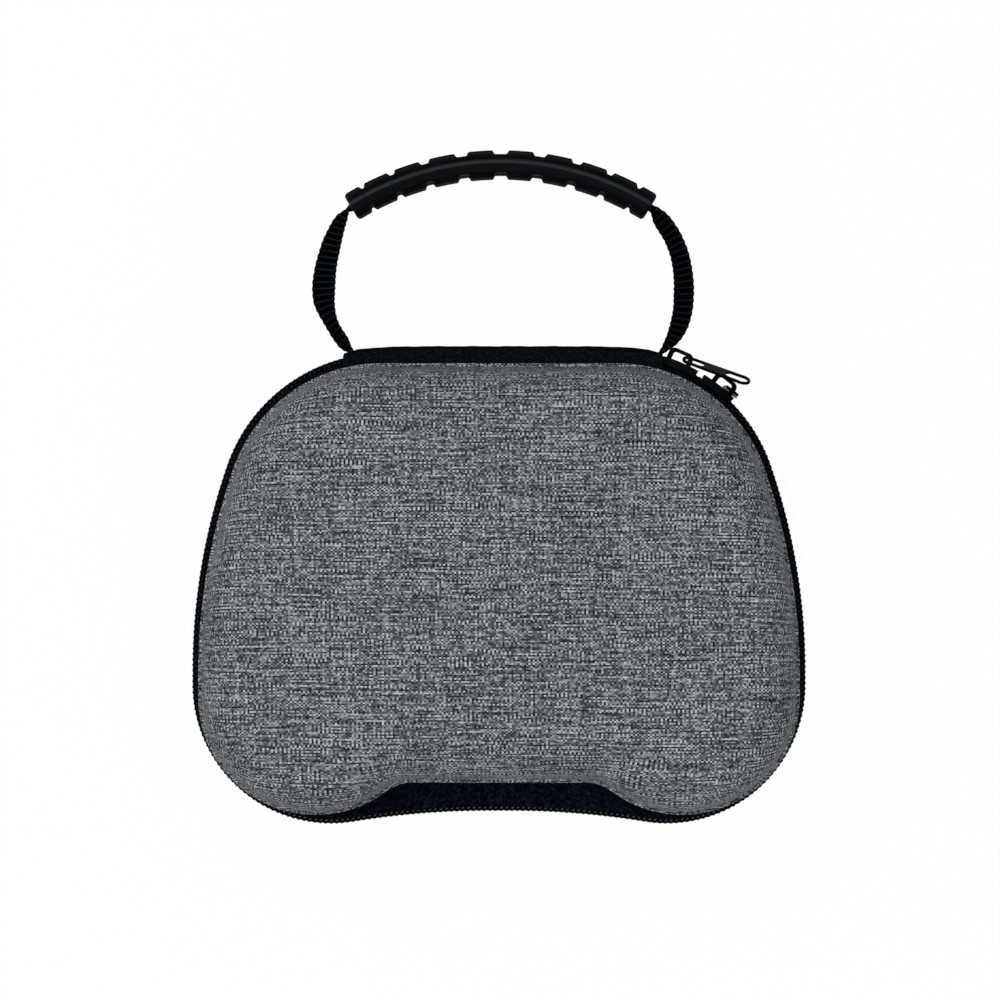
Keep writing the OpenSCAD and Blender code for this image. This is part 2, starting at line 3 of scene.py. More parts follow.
import bmesh
import bpy
import numpy as np
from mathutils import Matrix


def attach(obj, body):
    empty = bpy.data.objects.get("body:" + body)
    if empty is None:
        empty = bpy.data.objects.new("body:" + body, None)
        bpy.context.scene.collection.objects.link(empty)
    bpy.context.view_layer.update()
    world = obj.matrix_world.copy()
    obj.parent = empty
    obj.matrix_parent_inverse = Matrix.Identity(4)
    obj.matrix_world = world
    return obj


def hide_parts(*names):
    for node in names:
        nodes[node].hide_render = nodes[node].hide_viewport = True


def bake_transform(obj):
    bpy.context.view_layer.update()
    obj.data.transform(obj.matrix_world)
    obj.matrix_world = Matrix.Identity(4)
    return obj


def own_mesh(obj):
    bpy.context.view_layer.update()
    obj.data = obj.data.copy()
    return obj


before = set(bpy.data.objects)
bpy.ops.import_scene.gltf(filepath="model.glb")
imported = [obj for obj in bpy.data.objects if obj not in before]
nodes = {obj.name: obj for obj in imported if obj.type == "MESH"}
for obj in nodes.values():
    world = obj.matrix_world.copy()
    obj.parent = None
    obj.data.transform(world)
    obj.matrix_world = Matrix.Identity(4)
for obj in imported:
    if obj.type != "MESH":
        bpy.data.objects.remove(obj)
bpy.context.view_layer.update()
print("frame loaded,", len(nodes), "nodes")

mm = 0.001
midZ = 37.5


# The camera looks straight down on the front shell.
view = dict(x=0.3, y=26.1, width=295.0, lens=200.0, sensor=36.0)
camera = bpy.data.objects.new("camera", bpy.data.cameras.new("camera"))
camera.data.lens = view["lens"]
camera.data.sensor_width = view["sensor"]
camera.location = (
    view["x"] * mm,
    view["y"] * mm,
    (midZ + view["width"] * view["lens"] / view["sensor"]) * mm,
)
bpy.context.scene.collection.objects.link(camera)
bpy.context.scene.camera = camera


class Wire:
    def __init__(self, finish, socket):
        self.finish = finish
        self.socket = socket

    def made(self, operation, *terms):
        return self.finish.node("ShaderNodeMath", dict(operation=operation), dict(enumerate(terms)))

    def __add__(self, other):
        return self.made("ADD", self, other)

    def __radd__(self, other):
        return self.made("ADD", other, self)

    def __sub__(self, other):
        return self.made("SUBTRACT", self, other)

    def __rsub__(self, other):
        return self.made("SUBTRACT", other, self)

    def __mul__(self, other):
        return self.made("MULTIPLY", self, other)

    def __rmul__(self, other):
        return self.made("MULTIPLY", other, self)

    def __truediv__(self, other):
        return self.made("DIVIDE", self, other)

    def __mod__(self, other):
        return self.made("FLOORED_MODULO", self, other)

    def __pow__(self, other):
        return self.made("POWER", self, other)

    def __lt__(self, other):
        return self.made("LESS_THAN", self, other)

    def __gt__(self, other):
        return self.made("GREATER_THAN", self, other)

    def floor(self):
        return self.made("FLOOR", self)

    def fract(self):
        return self.made("FRACT", self)

    def abs(self):
        return self.made("ABSOLUTE", self)

    def cos(self):
        return self.made("COSINE", self)

    def least(self, other):
        return self.made("MINIMUM", self, other)

    def most(self, other):
        return self.made("MAXIMUM", self, other)

    def toward(self, other, share):
        return self + (other - self) * share


class Finish:
    def __init__(self, name, **constants):
        self.material = bpy.data.materials.new(name)
        self.material.use_nodes = True
        self.tree = self.material.node_tree
        self.shader = self.tree.nodes["Principled BSDF"]
        for label, value in constants.items():
            self.shader.inputs[label.replace("_", " ")].default_value = value

    def put(self, socket, value):
        if isinstance(value, Wire):
            self.tree.links.new(value.socket, socket)
        else:
            socket.default_value = value

    def node(self, kind, settings=None, values=None, out=0):
        made = self.tree.nodes.new(kind)
        for label, value in (settings or {}).items():
            setattr(made, label, value)
        for slot, value in (values or {}).items():
            self.put(made.inputs[slot], value)
        return Wire(self, made.outputs[out])

    def surface(self, **varied):
        for label, value in varied.items():
            self.put(self.shader.inputs[label.replace("_", " ")], value)
        return self.material

    def attribute(self, name):
        return self.node("ShaderNodeAttribute", dict(attribute_name=name), out=1)

    def place(self):
        return self.scaled(self.node("ShaderNodeTexCoord", out=3), 1 / mm)  # object space, in mm

    def scaled(self, vector, by):
        return self.node("ShaderNodeVectorMath", dict(operation="SCALE"), {0: vector, 3: by})

    def parts(self, vector):
        first = self.node("ShaderNodeSeparateXYZ", values={0: vector})
        made = first.socket.node
        return first, Wire(self, made.outputs[1]), Wire(self, made.outputs[2])

    def vector(self, x, y, z=0.0):
        return self.node("ShaderNodeCombineXYZ", values={0: x, 1: y, 2: z})

    def noise(self, vector, scale, detail=2.0, rough=0.5, out=0):
        return self.node(
            "ShaderNodeTexNoise",
            values={"Vector": vector, "Scale": scale, "Detail": detail, "Roughness": rough},
            out=out,
        )

    def cell(self, vector):
        return self.node("ShaderNodeTexWhiteNoise", dict(noise_dimensions="3D"), {"Vector": vector})

    def choose(self, factor, low, high):
        return self.node("ShaderNodeMix", dict(data_type="RGBA"), {0: factor, 6: low, 7: high}, out=2)

    def ramp(self, value, stops, interpolation="LINEAR"):
        made = self.node("ShaderNodeValToRGB", values={0: value})
        ramp = made.socket.node.color_ramp
        ramp.interpolation = interpolation
        while len(ramp.elements) < len(stops):
            ramp.elements.new(0.5)
        for element, (place, colour) in zip(ramp.elements, stops):
            element.position = place
            element.color = (*colour, 1) if len(colour) == 3 else colour
        return made

    def bump(self, height, distance, strength=1.0):
        return self.node(
            "ShaderNodeBump",
            values={"Height": height, "Distance": distance * mm, "Strength": strength},
        )


def grey(level, warm=0.0, cool=0.0):
    return (level * (1 + warm), level, level * (1 + cool))


def polar(centre, radius, angle):
    angle = np.radians(angle)
    return np.stack([centre[0] + radius * np.cos(angle), centre[1] + radius * np.sin(angle)], -1)


def angleTo(a, b):
    return math.degrees(math.atan2(b[1] - a[1], b[0] - a[0]))


# An outline of the case: a notch, lobes, straight stretches, side curves, corners and a flat top.
class Line:
    names = ("halfW", "top", "widest", "cornerR", "sideR", "lobeR", "lobeY", "notchY", "notchR")

    def __init__(self, *sizes):
        for name, size in zip(self.names, sizes):
            setattr(self, name, size)
        self.sideC = (self.halfW - self.sideR, self.widest)
        rise = self.top - self.cornerR - self.widest
        reach = math.sqrt((self.sideR - self.cornerR) ** 2 - rise * rise)
        self.cornerC = (self.sideC[0] + reach, self.top - self.cornerR)
        self.lobeC = (self.halfW - self.lobeR, self.lobeY)
        low = self.notchY - self.notchR
        reach = math.sqrt((self.lobeR + self.notchR) ** 2 - (self.lobeY - low) ** 2)
        self.notchC = (self.lobeC[0] - reach, low)
        self.sideTurn = angleTo(self.sideC, self.cornerC)
        self.notchTurn = angleTo(self.lobeC, self.notchC)

    def inset(self, by):
        return Line(
            self.halfW - by, self.top - by, self.widest, self.cornerR - by, self.sideR - by,
            self.lobeR - by, self.lobeY, self.notchY + by, self.notchR + by,
        )

    def endTurn(self, x):
        return math.degrees(math.acos((x - self.cornerC[0]) / self.cornerR))

    # Points and outward directions of the right half, to xEnd on the corner or to the top's middle.
    def half(self, xEnd=None):
        reach = polar(self.lobeC, self.lobeR, self.notchTurn)[0]
        x = reach * np.linspace(0, 1, 41)[:-1] ** 0.8
        over = np.maximum(x - self.notchC[0], 0)
        y = self.notchC[1] + np.sqrt(self.notchR**2 - over**2)
        places = [np.stack([x, y], -1)]
        facing = [np.stack([-over / self.notchR, -(y - self.notchC[1]) / self.notchR], -1)]
        last = 90 if xEnd is None else self.endTurn(xEnd)
        arcs = (
            (self.lobeC, self.lobeR, self.notchTurn, 0, 56),
            (self.sideC, self.sideR, 0, self.sideTurn, 40),
            (self.cornerC, self.cornerR, self.sideTurn, last, 44),
        )
        for centre, radius, start, end, count in arcs:
            turns = np.linspace(start, end, count)[int(len(places) > 1):]  # no point twice
            places.append(polar(centre, radius, turns))
            facing.append(polar((0, 0), 1, turns))
        if xEnd is None:
            x = np.linspace(self.cornerC[0], 0, 16)[1:]
            places.append(np.stack([x, np.full_like(x, self.top)], -1))
            facing.append(np.tile([0.0, 1.0], (len(x), 1)))
        return np.concatenate(places), np.concatenate(facing)

    def ring(self):
        places, facing = self.half()
        flip = np.array([-1, 1])
        return (
            np.concatenate([places, places[-2:0:-1] * flip]),
            np.concatenate([facing, facing[-2:0:-1] * flip]),
        )

    # From the left end of the zip round the bottom to its right end.
    def path(self, leftEnd, rightEnd):
        right, rightOut = self.half(rightEnd)
        left, leftOut = self.half(leftEnd)
        flip = np.array([-1, 1])
        return (
            np.concatenate([left[:0:-1] * flip, right]),
            np.concatenate([leftOut[:0:-1] * flip, rightOut]),
        )


shellLine = Line(88.2, 66.2, -25.5, 46, 184, 34.5, -31.7, -56.8, 12)
zipLine = Line(90.45, 69.6, -24, 49.4, 184, 41, -28.35, -65.6, 250)
shift = 1.2
spineHalf = zipLine.cornerC[0] + 9.9
zipEnd = spineHalf + 2.8
zipEnds = (zipEnd - shift, zipEnd + shift)
arcC = zipLine.cornerC


def lengths(points):
    steps = np.linalg.norm(np.diff(points, axis=0), axis=1)
    return np.concatenate([[0], np.cumsum(steps)])


def meshObject(name, points, faces, cloth=None, materials=(), indices=None, smooth=True):
    data = bpy.data.meshes.new(name)
    data.from_pydata((np.asarray(points, float) * mm).tolist(), [], [list(map(int, f)) for f in faces])
    if cloth is not None:
        attribute = data.attributes.new("cloth", "FLOAT_VECTOR", "POINT")
        flat = np.zeros((len(points), 3), np.float32)
        flat[:, : np.shape(cloth)[1]] = cloth
        attribute.data.foreach_set("vector", flat.ravel())
    for material in materials:
        data.materials.append(material)
    if indices is not None:
        data.polygons.foreach_set("material_index", np.asarray(indices, np.int32))
    data.polygons.foreach_set("use_smooth", [smooth] * len(data.polygons))
    data.update()
    made = bpy.data.objects.new(name, data)
    bpy.context.scene.collection.objects.link(made)
    return made


# Quads between the rows of a grid of m rows by n points; around=True joins each row's ends.
def gridFaces(m, n, around=False, start=0, reverse=False):
    i = np.arange(m - 1)[:, None]
    j = np.arange(n if around else n - 1)[None, :]
    k = (j + 1) % n
    quads = np.stack(np.broadcast_arrays(i * n + j, i * n + k, (i + 1) * n + k, (i + 1) * n + j), -1)
    quads = quads.reshape(-1, 4) + start
    return (quads[:, ::-1] if reverse else quads).tolist()


# A thin closed sheet between two equal grids of points.
def slabFaces(m, n):
    faces = gridFaces(m, n) + gridFaces(m, n, start=m * n, reverse=True)
    rim = [(0, j) for j in range(n)] + [(i, n - 1) for i in range(1, m)]
    rim += [(m - 1, j) for j in range(n - 2, -1, -1)] + [(i, 0) for i in range(m - 2, 0, -1)]
    loop = [i * n + j for i, j in rim]
    for a, b in zip(loop, loop[1:] + loop[:1]):
        faces.append([b, a, a + m * n, b + m * n])
    return faces


def slab(name, front, back, cloth, materials):
    m, n = front.shape[:2]
    points = np.concatenate([front.reshape(-1, 3), back.reshape(-1, 3)])
    coords = np.concatenate([cloth.reshape(-1, cloth.shape[-1])] * 2)
    return meshObject(name, points, slabFaces(m, n), coords, materials)


# Loops of points joined into a closed tube, with a fan on each open end.
def tubeArrays(rings, capped=True):
    m, n = rings.shape[:2]
    points = rings.reshape(-1, 3)
    faces = gridFaces(m, n, around=True)
    if capped:
        faces.append(list(range(n - 1, -1, -1)))
        faces.append([(m - 1) * n + j for j in range(n)])
    return points, faces


def fixNormals(thing):
    work = bmesh.new()
    work.from_mesh(thing.data)
    bmesh.ops.recalc_face_normals(work, faces=work.faces)
    work.to_mesh(thing.data)
    work.free()
    return thing


def settle(thing, body, slotName, *replaced):
    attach(thing, body)
    if replaced:
        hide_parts(*replaced)
    return thing


halves = dict(front=1, back=-1)


# Heathered plain weave: each yarn runs light and dark, and each crossing shows its own fleck.
def heatherFinish():
    cloth = dict(warp=0.615, weft=0.463, wander=1.2, run=11.0, depth=0.10)
    f = Finish("heatherCloth", Roughness=0.9, Specular_IOR_Level=0.1)
    flat = f.attribute("cloth")
    drift = f.scaled(f.noise(flat, 0.03, 1.0, out=1), cloth["wander"])
    u, v, _ = f.parts(f.node("ShaderNodeVectorMath", dict(operation="ADD"), {0: flat, 1: drift}))
    long, high = u / cloth["run"], v / cloth["run"]
    u = u / cloth["warp"]
    v = v / cloth["weft"]
    column = u.floor()
    row = v.floor()
    across = (u - column - 0.5).abs() * 2
    along = (v - row - 0.5).abs() * 2
    # A yarn looks paler beside a dark one, so each row is set against the row before it.
    weft, before = (f.noise(f.vector(long, place * 7.31, 0.5), 1.0, 0.0) - 0.5 for place in (row, row - 1))
    weft = weft - before * 0.6
    warp = f.noise(f.vector(column * 7.31, high, 9.5), 1.0, 0.0) - 0.5
    over = ((row + column) % 2) > 0.5
    fleck = f.cell(f.vector(row, column, 3.0))
    # Along a row, the weft shows over every other warp, and how far they differ changes too.
    swing = (f.noise(f.vector(long, row * 7.31, 4.5), 1.0, 0.0) - 0.5) * 1.1 + 0.035
    patch = (f.noise(flat, 0.06, 2.0) - 0.5) * 0.06
    tone = weft * 0.74 + swing * (1 - over * 2) + warp * over * 0.6 + (fleck - 0.5) * 0.6 + patch + 0.5
    shade = f.ramp(tone, (
        (0.00, (0.006, 0.0062, 0.0069)),
        (0.24, (0.029, 0.0300, 0.0327)),
        (0.42, (0.078, 0.0815, 0.0895)),
        (0.54, (0.131, 0.1365, 0.1480)),
        (0.76, (0.283, 0.2920, 0.3110)),
        (1.00, (0.520, 0.5330, 0.5580)),
    ))
    height = (1 - (across ** 2).toward(along ** 2, over)) * 0.6 + fleck * 0.3
    return f.surface(Base_Color=shade, Roughness=0.84 + fleck * 0.12, Normal=f.bump(height, cloth["depth"], 0.6))


# Knitted lining of the inside, with rows of small loops.
def liningFinish():
    knit = dict(course=0.9, wale=0.8)
    f = Finish("knitLining", Roughness=0.92, Specular_IOR_Level=0.1)
    flat = f.attribute("cloth")
    u, v, _ = f.parts(flat)
    side = ((u / knit["wale"]).fract() - 0.5).abs()
    loops = ((v / knit["course"] + side * 1.4) * (2 * math.pi)).cos() * 0.5 + 0.5
    groove = (side * 2) ** 2
    mottle = f.noise(flat, 0.5, 3.0, 0.6)
    cloudy = f.noise(flat, 0.09, 3.0, 0.6)
    tone = loops * 0.35 + (1 - groove) * 0.25 + mottle * 0.35 + cloudy * 0.35 - 0.1
    shade = f.ramp(tone, ((0.2, grey(0.010, cool=0.1)), (0.9, grey(0.055, cool=0.1))))
    return f.surface(Base_Color=shade, Normal=f.bump(loops * 0.7 - groove * 0.5, 0.15))


# Zip tape: fine ribs across it, a plain selvedge by the coil.
def tapeFinish():
    weave = dict(rib=0.9, thread=0.8)
    f = Finish("zipTapeCloth", Roughness=0.85, Specular_IOR_Level=0.0)
    flat = f.attribute("cloth")
    u, v, _ = f.parts(flat)
    slant = (f.noise(flat, 0.9, 2.0) - 0.5) * 0.3
    ribs = ((u / weave["rib"] + slant) * (2 * math.pi)).cos() * 0.5 + 0.5
    threads = ((v / weave["thread"] + (u / weave["rib"]).floor() * 0.5) * (2 * math.pi)).cos() * 0.5 + 0.5
    mottle = f.noise(flat, 0.75, 3.0, 0.65)
    speck = f.cell(f.vector((u / weave["rib"] + slant).floor(), (v / weave["thread"]).floor()))
    tone = ribs * 0.25 + threads * 0.2 + (speck - 0.5) * 0.45 + (mottle - 0.5) * 1.1 + 0.2
    shade = f.ramp(tone, (
        (0.05, (0.0004, 0.0006, 0.0012)),
        (0.5, (0.0030, 0.0040, 0.0072)),
        (0.95, (0.0140, 0.0170, 0.0260)),
    ))
    return f.surface(Base_Color=shade, Normal=f.bump(ribs * 0.7 + threads * 0.4, 0.12, 0.7))


def coilFinish():
    f = Finish("coilNylon", Roughness=0.4, Specular_IOR_Level=0.03)
    place = f.place()
    haze = f.noise(place, 0.8, 3.0, 0.6)
    shade = f.ramp(haze, ((0.3, grey(0.0014, cool=0.3)), (0.7, grey(0.0048, cool=0.25))))
    return f.surface(Base_Color=shade, Roughness=0.28 + haze * 0.25, Normal=f.bump(haze, 0.02, 0.5))


def threadFinish():
    f = Finish("sewingThread", Roughness=0.7, Specular_IOR_Level=0.2)
    place = f.place()
    x, y, z = f.parts(place)
    twist = (((x + y) * 1.3 + z * 2.0) * (2 * math.pi / 0.9)).cos() * 0.5 + 0.5
    haze = f.noise(place, 1.2, 2.0)
    paintedBottomLight = ((-46.0 - y) / 14).most(0.0).least(1.0)  # painted light: thread towards the bottom is painted paler, and darker elsewhere
    tone = (twist * 0.5 + haze * 0.5) * (0.2 + paintedBottomLight * 0.8)
    shade = f.ramp(tone, ((0.05, grey(0.006, cool=0.08)), (0.8, grey(0.17, cool=0.06))))
    return f.surface(Base_Color=shade, Normal=f.bump(twist, 0.05, 0.6))


# Herringbone: twill lines that turn back at every chevron.
def herringboneFinish():
    weave = dict(chevron=1.3, line=1.15)
    f = Finish("herringboneCloth", Roughness=0.85, Specular_IOR_Level=0.0)
    flat = f.attribute("cloth")
    u, v, _ = f.parts(flat)
    zig = ((u / (2 * weave["chevron"])).fract() - 0.5).abs() * (2 * weave["chevron"])
    lines = (((v + zig) / weave["line"]) * (2 * math.pi)).cos() * 0.5 + 0.5
    mottle = f.noise(flat, 0.9, 3.0, 0.65)
    tone = lines * 0.36 + (mottle - 0.5) * 1.2 + 0.33
    shade = f.ramp(tone, (
        (0.1, (0.0008, 0.0009, 0.0013)),
        (0.6, (0.0050, 0.0057, 0.0082)),
        (0.95, (0.0200, 0.0215, 0.0270)),
    ))
    return f.surface(Base_Color=shade, Normal=f.bump(lines, 0.16, 0.8))


def ribbonFinish():
    f = Finish("boundRibbon", Roughness=0.8, Specular_IOR_Level=0.1)
    flat = f.attribute("cloth")
    u, v, _ = f.parts(flat)
    ribs = ((u / 0.55) * (2 * math.pi)).cos() * 0.5 + 0.5
    mottle = f.noise(flat, 1.1, 3.0, 0.6)
    shade = f.ramp(ribs * 0.4 + mottle * 0.6, ((0.2, grey(0.004, cool=0.15)), (0.85, grey(0.020, cool=0.1))))
    return f.surface(Base_Color=shade, Normal=f.bump(ribs, 0.1, 0.7))


# Webbing: weft ribs are in the mesh, the warp yarns run over them here.
def webbingFinish():
    weave = dict(rib=1.86, warp=1.05)
    f = Finish("webbingCloth", Roughness=0.85, Specular_IOR_Level=0.0)
    flat = f.attribute("cloth")
    s, t, _ = f.parts(flat)
    rib = (s / weave["rib"] * (2 * math.pi)).cos() * 0.5 + 0.5
    warp = (t / weave["warp"] * (2 * math.pi)).cos() * 0.5 + 0.5
    mottle = f.noise(f.vector(s * 0.9, t * 2.2), 1.0, 3.0, 0.65)
    tone = rib ** 3 * 0.62 + warp * 0.14 + (mottle - 0.5) * 0.8 + 0.1
    shade = f.ramp(tone, (
        (0.1, (0.0006, 0.0007, 0.0010)),
        (0.5, (0.0028, 0.0030, 0.0040)),
        (0.95, (0.0210, 0.0215, 0.0250)),
    ))
    return f.surface(Base_Color=shade, Normal=f.bump(warp * 0.6 + mottle * 0.5, 0.15, 0.8))


def rubberFinish():
    f = Finish("gripRubber", Roughness=0.42, Specular_IOR_Level=0.05)
    place = f.place()
    _, side, wall = f.parts(f.attribute("cloth"))
    wearAndPaintedSheen = (1 - ((side - 0.6) / 0.8) ** 2).most(0.0)  # painted highlight: the ridge's top is painted lighter, in place of the key light's reflection
    grain = f.noise(place, 2.6, 4.0, 0.7)
    smear = f.noise(place, 0.09, 3.0, 0.6)
    shade = f.ramp(grain * 0.6 + smear * 0.4, ((0.3, grey(0.0008, cool=0.4)), (0.7, grey(0.0030, cool=0.3))))
    shade = f.choose(wearAndPaintedSheen * (0.45 + grain * 0.9), shade, (0.022, 0.023, 0.026, 1))
    return f.surface(
        Base_Color=shade, Roughness=(0.36 + smear * 0.2).toward(1.0, wall), Normal=f.bump(grain, 0.03, 0.5)
    )


def enamelFinish():
    f = Finish("blackEnamel", Roughness=0.34, Specular_IOR_Level=0.02)
    place = f.place()
    speckle = f.noise(place, 1.4, 4.0, 0.7)
    wear = f.noise(place, 0.35, 4.0, 0.75)
    # Here the mask is only wear: random patches of worn enamel, partly metallic.
    wearAndPaintedSheen = ((wear - 0.68) * 9).most(0.0).least(1.0)
    dark = f.ramp(speckle, ((0.3, grey(0.0008, cool=0.2)), (0.75, grey(0.0034, cool=0.15))))
    shade = f.choose(wearAndPaintedSheen * 0.6, dark, (0.035, 0.036, 0.040, 1))
    return f.surface(
        Base_Color=shade, Metallic=wearAndPaintedSheen * 0.3, Roughness=0.3 + speckle * 0.2 - wearAndPaintedSheen * 0.06,
        Normal=f.bump(speckle, 0.02, 0.5),
    )


finishes = dict(
    heather=heatherFinish(), lining=liningFinish(), tape=tapeFinish(), coil=coilFinish(),
    thread=threadFinish(), herringbone=herringboneFinish(), ribbon=ribbonFinish(),
    webbing=webbingFinish(), rubber=rubberFinish(), enamel=enamelFinish(),
)
print("finishes made:", len(finishes))


# Moulded shells: one skin of woven cloth outside, one of knitted lining inside.
shell = dict(
    rim=9.0, roundIn=16.494, roundZ=13.309, outerR=14.0, innerR=10.5, draft=7.0, roundEnd=88.0,
    crown=1.2, ovalW=68.0, ovalH=48.0, flatShare=0.5, notchLay=0.46,
    lip=((0.30, 0.0), (0.06, 0.1), (0.0, 0.3), (0.0, 0.75), (0.0, 1.15), (0.08, 1.38),
         (0.28, 1.56), (0.62, 1.8), (0.92, 1.98), (1.03, 2.2)),
)


def shellProfile(radius, foot):
    turns = np.linspace(shell["draft"], shell["roundEnd"], 18)
    rounding = polar((shell["roundIn"], shell["roundZ"]), 1, turns) - (shell["roundIn"], shell["roundZ"])
    rounding = np.stack([
        shell["roundIn"] - radius * rounding[:, 0], shell["roundZ"] + radius * rounding[:, 1]], -1)
    start, end = np.array(foot[-1]), rounding[0]
    wall = start + (end - start) * np.linspace(0, 1, 12)[1:-1, None]
    return np.concatenate([np.array(foot), wall, rounding])


def skin(radius, foot):
    base, out = shellLine.ring()
    profile = shellProfile(radius, foot)
    n = len(base)
    spread = lengths(profile)
    spread = spread[-1] - spread
    rows, flat = [], []
    edge = base - out * profile[-1][0]
    # Laid flat, the cloth of the notch leans less to the middle, or it would fold over itself.
    inward = out[:, 0] * base[:, 0] < 0
    lay = np.stack([out[:, 0] * np.where(inward, shell["notchLay"], 1), out[:, 1]], -1)
    for (inset, height), far in zip(profile, spread):
        ring = base - out * inset
        rows.append(np.concatenate([ring, np.full((n, 1), shell["rim"] + height)], 1))
        flat.append(edge + lay * far)
    oval = edge / np.sqrt((edge[:, :1] / shell["ovalW"]) ** 2 + (edge[:, 1:] / shell["ovalH"]) ** 2)
    shares = np.concatenate([np.linspace(1, shell["flatShare"], 16)[1:], [0.42, 0.33, 0.24, 0.15, 0.06]])
    for share in shares:
        blend = min(1, (1 - share) / (1 - shell["flatShare"]))
        rise = 1 - max(0, (share - shell["flatShare"]) / (1 - shell["flatShare"])) ** 2
        ring = share * (edge + (oval - edge) * blend)
        z = shell["rim"] + profile[-1][1] + shell["crown"] * rise
        rows.append(np.concatenate([ring, np.full((n, 1), z)], 1))
        flat.append(ring)
    return np.array(rows), np.array(flat)


def makeShell(side):
    up = halves[side]
    wallFoot = shell["roundIn"] - shell["innerR"] * math.cos(math.radians(shell["draft"]))
    wallTop = shell["roundZ"] + shell["innerR"] * math.sin(math.radians(shell["draft"]))
    wallFoot -= math.tan(math.radians(shell["draft"])) * wallTop
    outer, outerFlat = skin(shell["outerR"], shell["lip"])
    inner, innerFlat = skin(shell["innerR"], ((wallFoot - 0.15, 0.05), (wallFoot, 0.3)))
    m, n = outer.shape[:2]
    k = inner.shape[0]
    points = np.concatenate([outer.reshape(-1, 3), inner.reshape(-1, 3)])
    cloth = np.concatenate([outerFlat.reshape(-1, 2), innerFlat.reshape(-1, 2)])
    tips = np.array([[0, 0, outer[-1, 0, 2]], [0, 0, inner[-1, 0, 2]]])
    points = np.concatenate([points, tips])
    cloth = np.concatenate([cloth, np.zeros((2, 2))])
    faces = gridFaces(m, n, around=True) + gridFaces(k, n, around=True, start=m * n, reverse=True)
    tip = len(points) - 2
    last, low = (m - 1) * n, m * n + (k - 1) * n
    for j in range(n):
        nxt = (j + 1) % n
        faces.append([last + j, last + nxt, tip])
        faces.append([low + nxt, low + j, tip + 1])
        faces.append([nxt, j, m * n + j, m * n + nxt])
    outside = (m - 1) * n
    indices = [0] * outside + [1] * ((k - 1) * n) + [0, 1, 1] * n
    points[:, 2] = midZ + up * points[:, 2]
    if up < 0:
        faces = [f[::-1] for f in faces]
    made = meshObject(
        side + "Shell", points, faces, cloth, (finishes["heather"], finishes["lining"]), indices)
    settle(made, side + "_half", "shell_cloth", side + "_shell")
    return made


shells = {side: makeShell(side) for side in halves}
print("shells made")


# Zip tapes: upright under the coil, then turned in over the ledge and hemmed under the rim.
tape = dict(
    low=1.0, turn=5.0, high=8.9, thick=1.0, faceIn=1.4, rimIn=0.3, hemIn=3.9,
    flexTurn=42.8, flexGap=0.3,
)


def tapeSection(side):
    # Each row is a share of the way from the zip's line to the rim's, an inset at both, and a height.
    t = tape
    front = [(0, t["faceIn"], 0, z) for z in (t["low"], 1.7, 2.5, 3.3, 4.0, 4.5)]
    front += [(0.012, t["faceIn"], t["rimIn"], 4.82), (0.05, t["faceIn"], t["rimIn"], 5.12)]
    for share in np.linspace(0.12, 0.94, 12):
        front.append((share, t["faceIn"], t["rimIn"], t["turn"] + (t["high"] - t["turn"]) * share))
    front += [(0.985, t["faceIn"], t["rimIn"], 8.86), (1.0, t["faceIn"], t["rimIn"] + 0.35, t["high"]),
              (1.0, t["faceIn"], 2.2, t["high"]), (1.0, t["faceIn"], t["hemIn"], t["high"])]
    back = []
    backIn = t["faceIn"] + t["thick"]
    for share, a, b, z in front:
        if share == 0:
            back.append((0, backIn, 0, min(z, 4.3)))
        elif b < t["rimIn"] + 0.3:
            back.append((share, backIn, t["hemIn"] - 0.4, 4.55 + (7.9 - 4.55) * share))
        else:
            back.append((1.0, backIn, t["hemIn"] - 0.2 + 0.2 * (b > 3), t["high"] - t["thick"]))
    return front, back


def sectionPoints(rows, up):
    made = []
    for share, a, b, z in rows:
        near, _ = zipLine.inset(a).path(*zipEnds)
        if share > 0:
            far, _ = shellLine.inset(b).path(*zipEnds)
            near = near + (far - near) * share
        made.append(np.concatenate([near, np.full((len(near), 1), midZ + up * z)], 1))
    return np.array(made)


def turnOf(points):
    return np.degrees(np.arctan2(points[..., 1] - arcC[1], points[..., 0] - arcC[0]))


# The part of some rows before or after a radial cut through the right corner.
def cutRows(groups, angle, after):
    def cutOne(row):
        turn = turnOf(row)
        on = np.where((row[:, 0] > arcC[0]) & (turn > -60))[0]
        first = on[np.argmax(turn[on] > angle)]
        a, b = row[first - 1], row[first]
        share = (angle - turn[first - 1]) / (turn[first] - turn[first - 1])
        return first, a + (b - a) * share

    cuts = [[cutOne(row) for row in rows] for rows in groups]
    firsts = [first for group in cuts for first, _ in group]
    made = []
    for rows, group in zip(groups, cuts):
        if after:
            own = [np.concatenate([[spot], row[max(firsts) + 1:]]) for row, (_, spot) in zip(rows, group)]
        else:
            own = [np.concatenate([row[: min(firsts) - 1], [spot]]) for row, (_, spot) in zip(rows, group)]
        made.append(np.array(own))
    return made


def makeTape(name, side, piece, node):
    up = halves[side]
    front, back = (sectionPoints(rows, up) for rows in tapeSection(side))
    if piece == "main":
        front, back = cutRows((front, back), tape["flexTurn"], False)
    if piece == "end":
        angle = tape["flexTurn"] + tape["flexGap"]
        front, back = cutRows((front, back), angle, True)
    run = lengths(front[0])
    m, n = front.shape[:2]
    across = np.concatenate(
        [np.zeros((1, n)), np.cumsum(np.linalg.norm(np.diff(front, axis=0), axis=2), axis=0)])
    cloth = np.stack([np.broadcast_to(run, (m, n)), across], -1)
    made = slab(name, front, back, cloth, (finishes["tape"],))
    fixNormals(made)
    settle(made, side + "_half", "zip_tape", node)
    return made


tapes = [
    makeTape("backZipTape", "back", "whole", "back_zip_tape"),
    makeTape("frontZipTape", "front", "main", "front_zip_tape"),
    makeTape("frontTapeEnd", "front", "end", "front_tape_end"),
]
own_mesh(tapes[2])
print("tapes made")


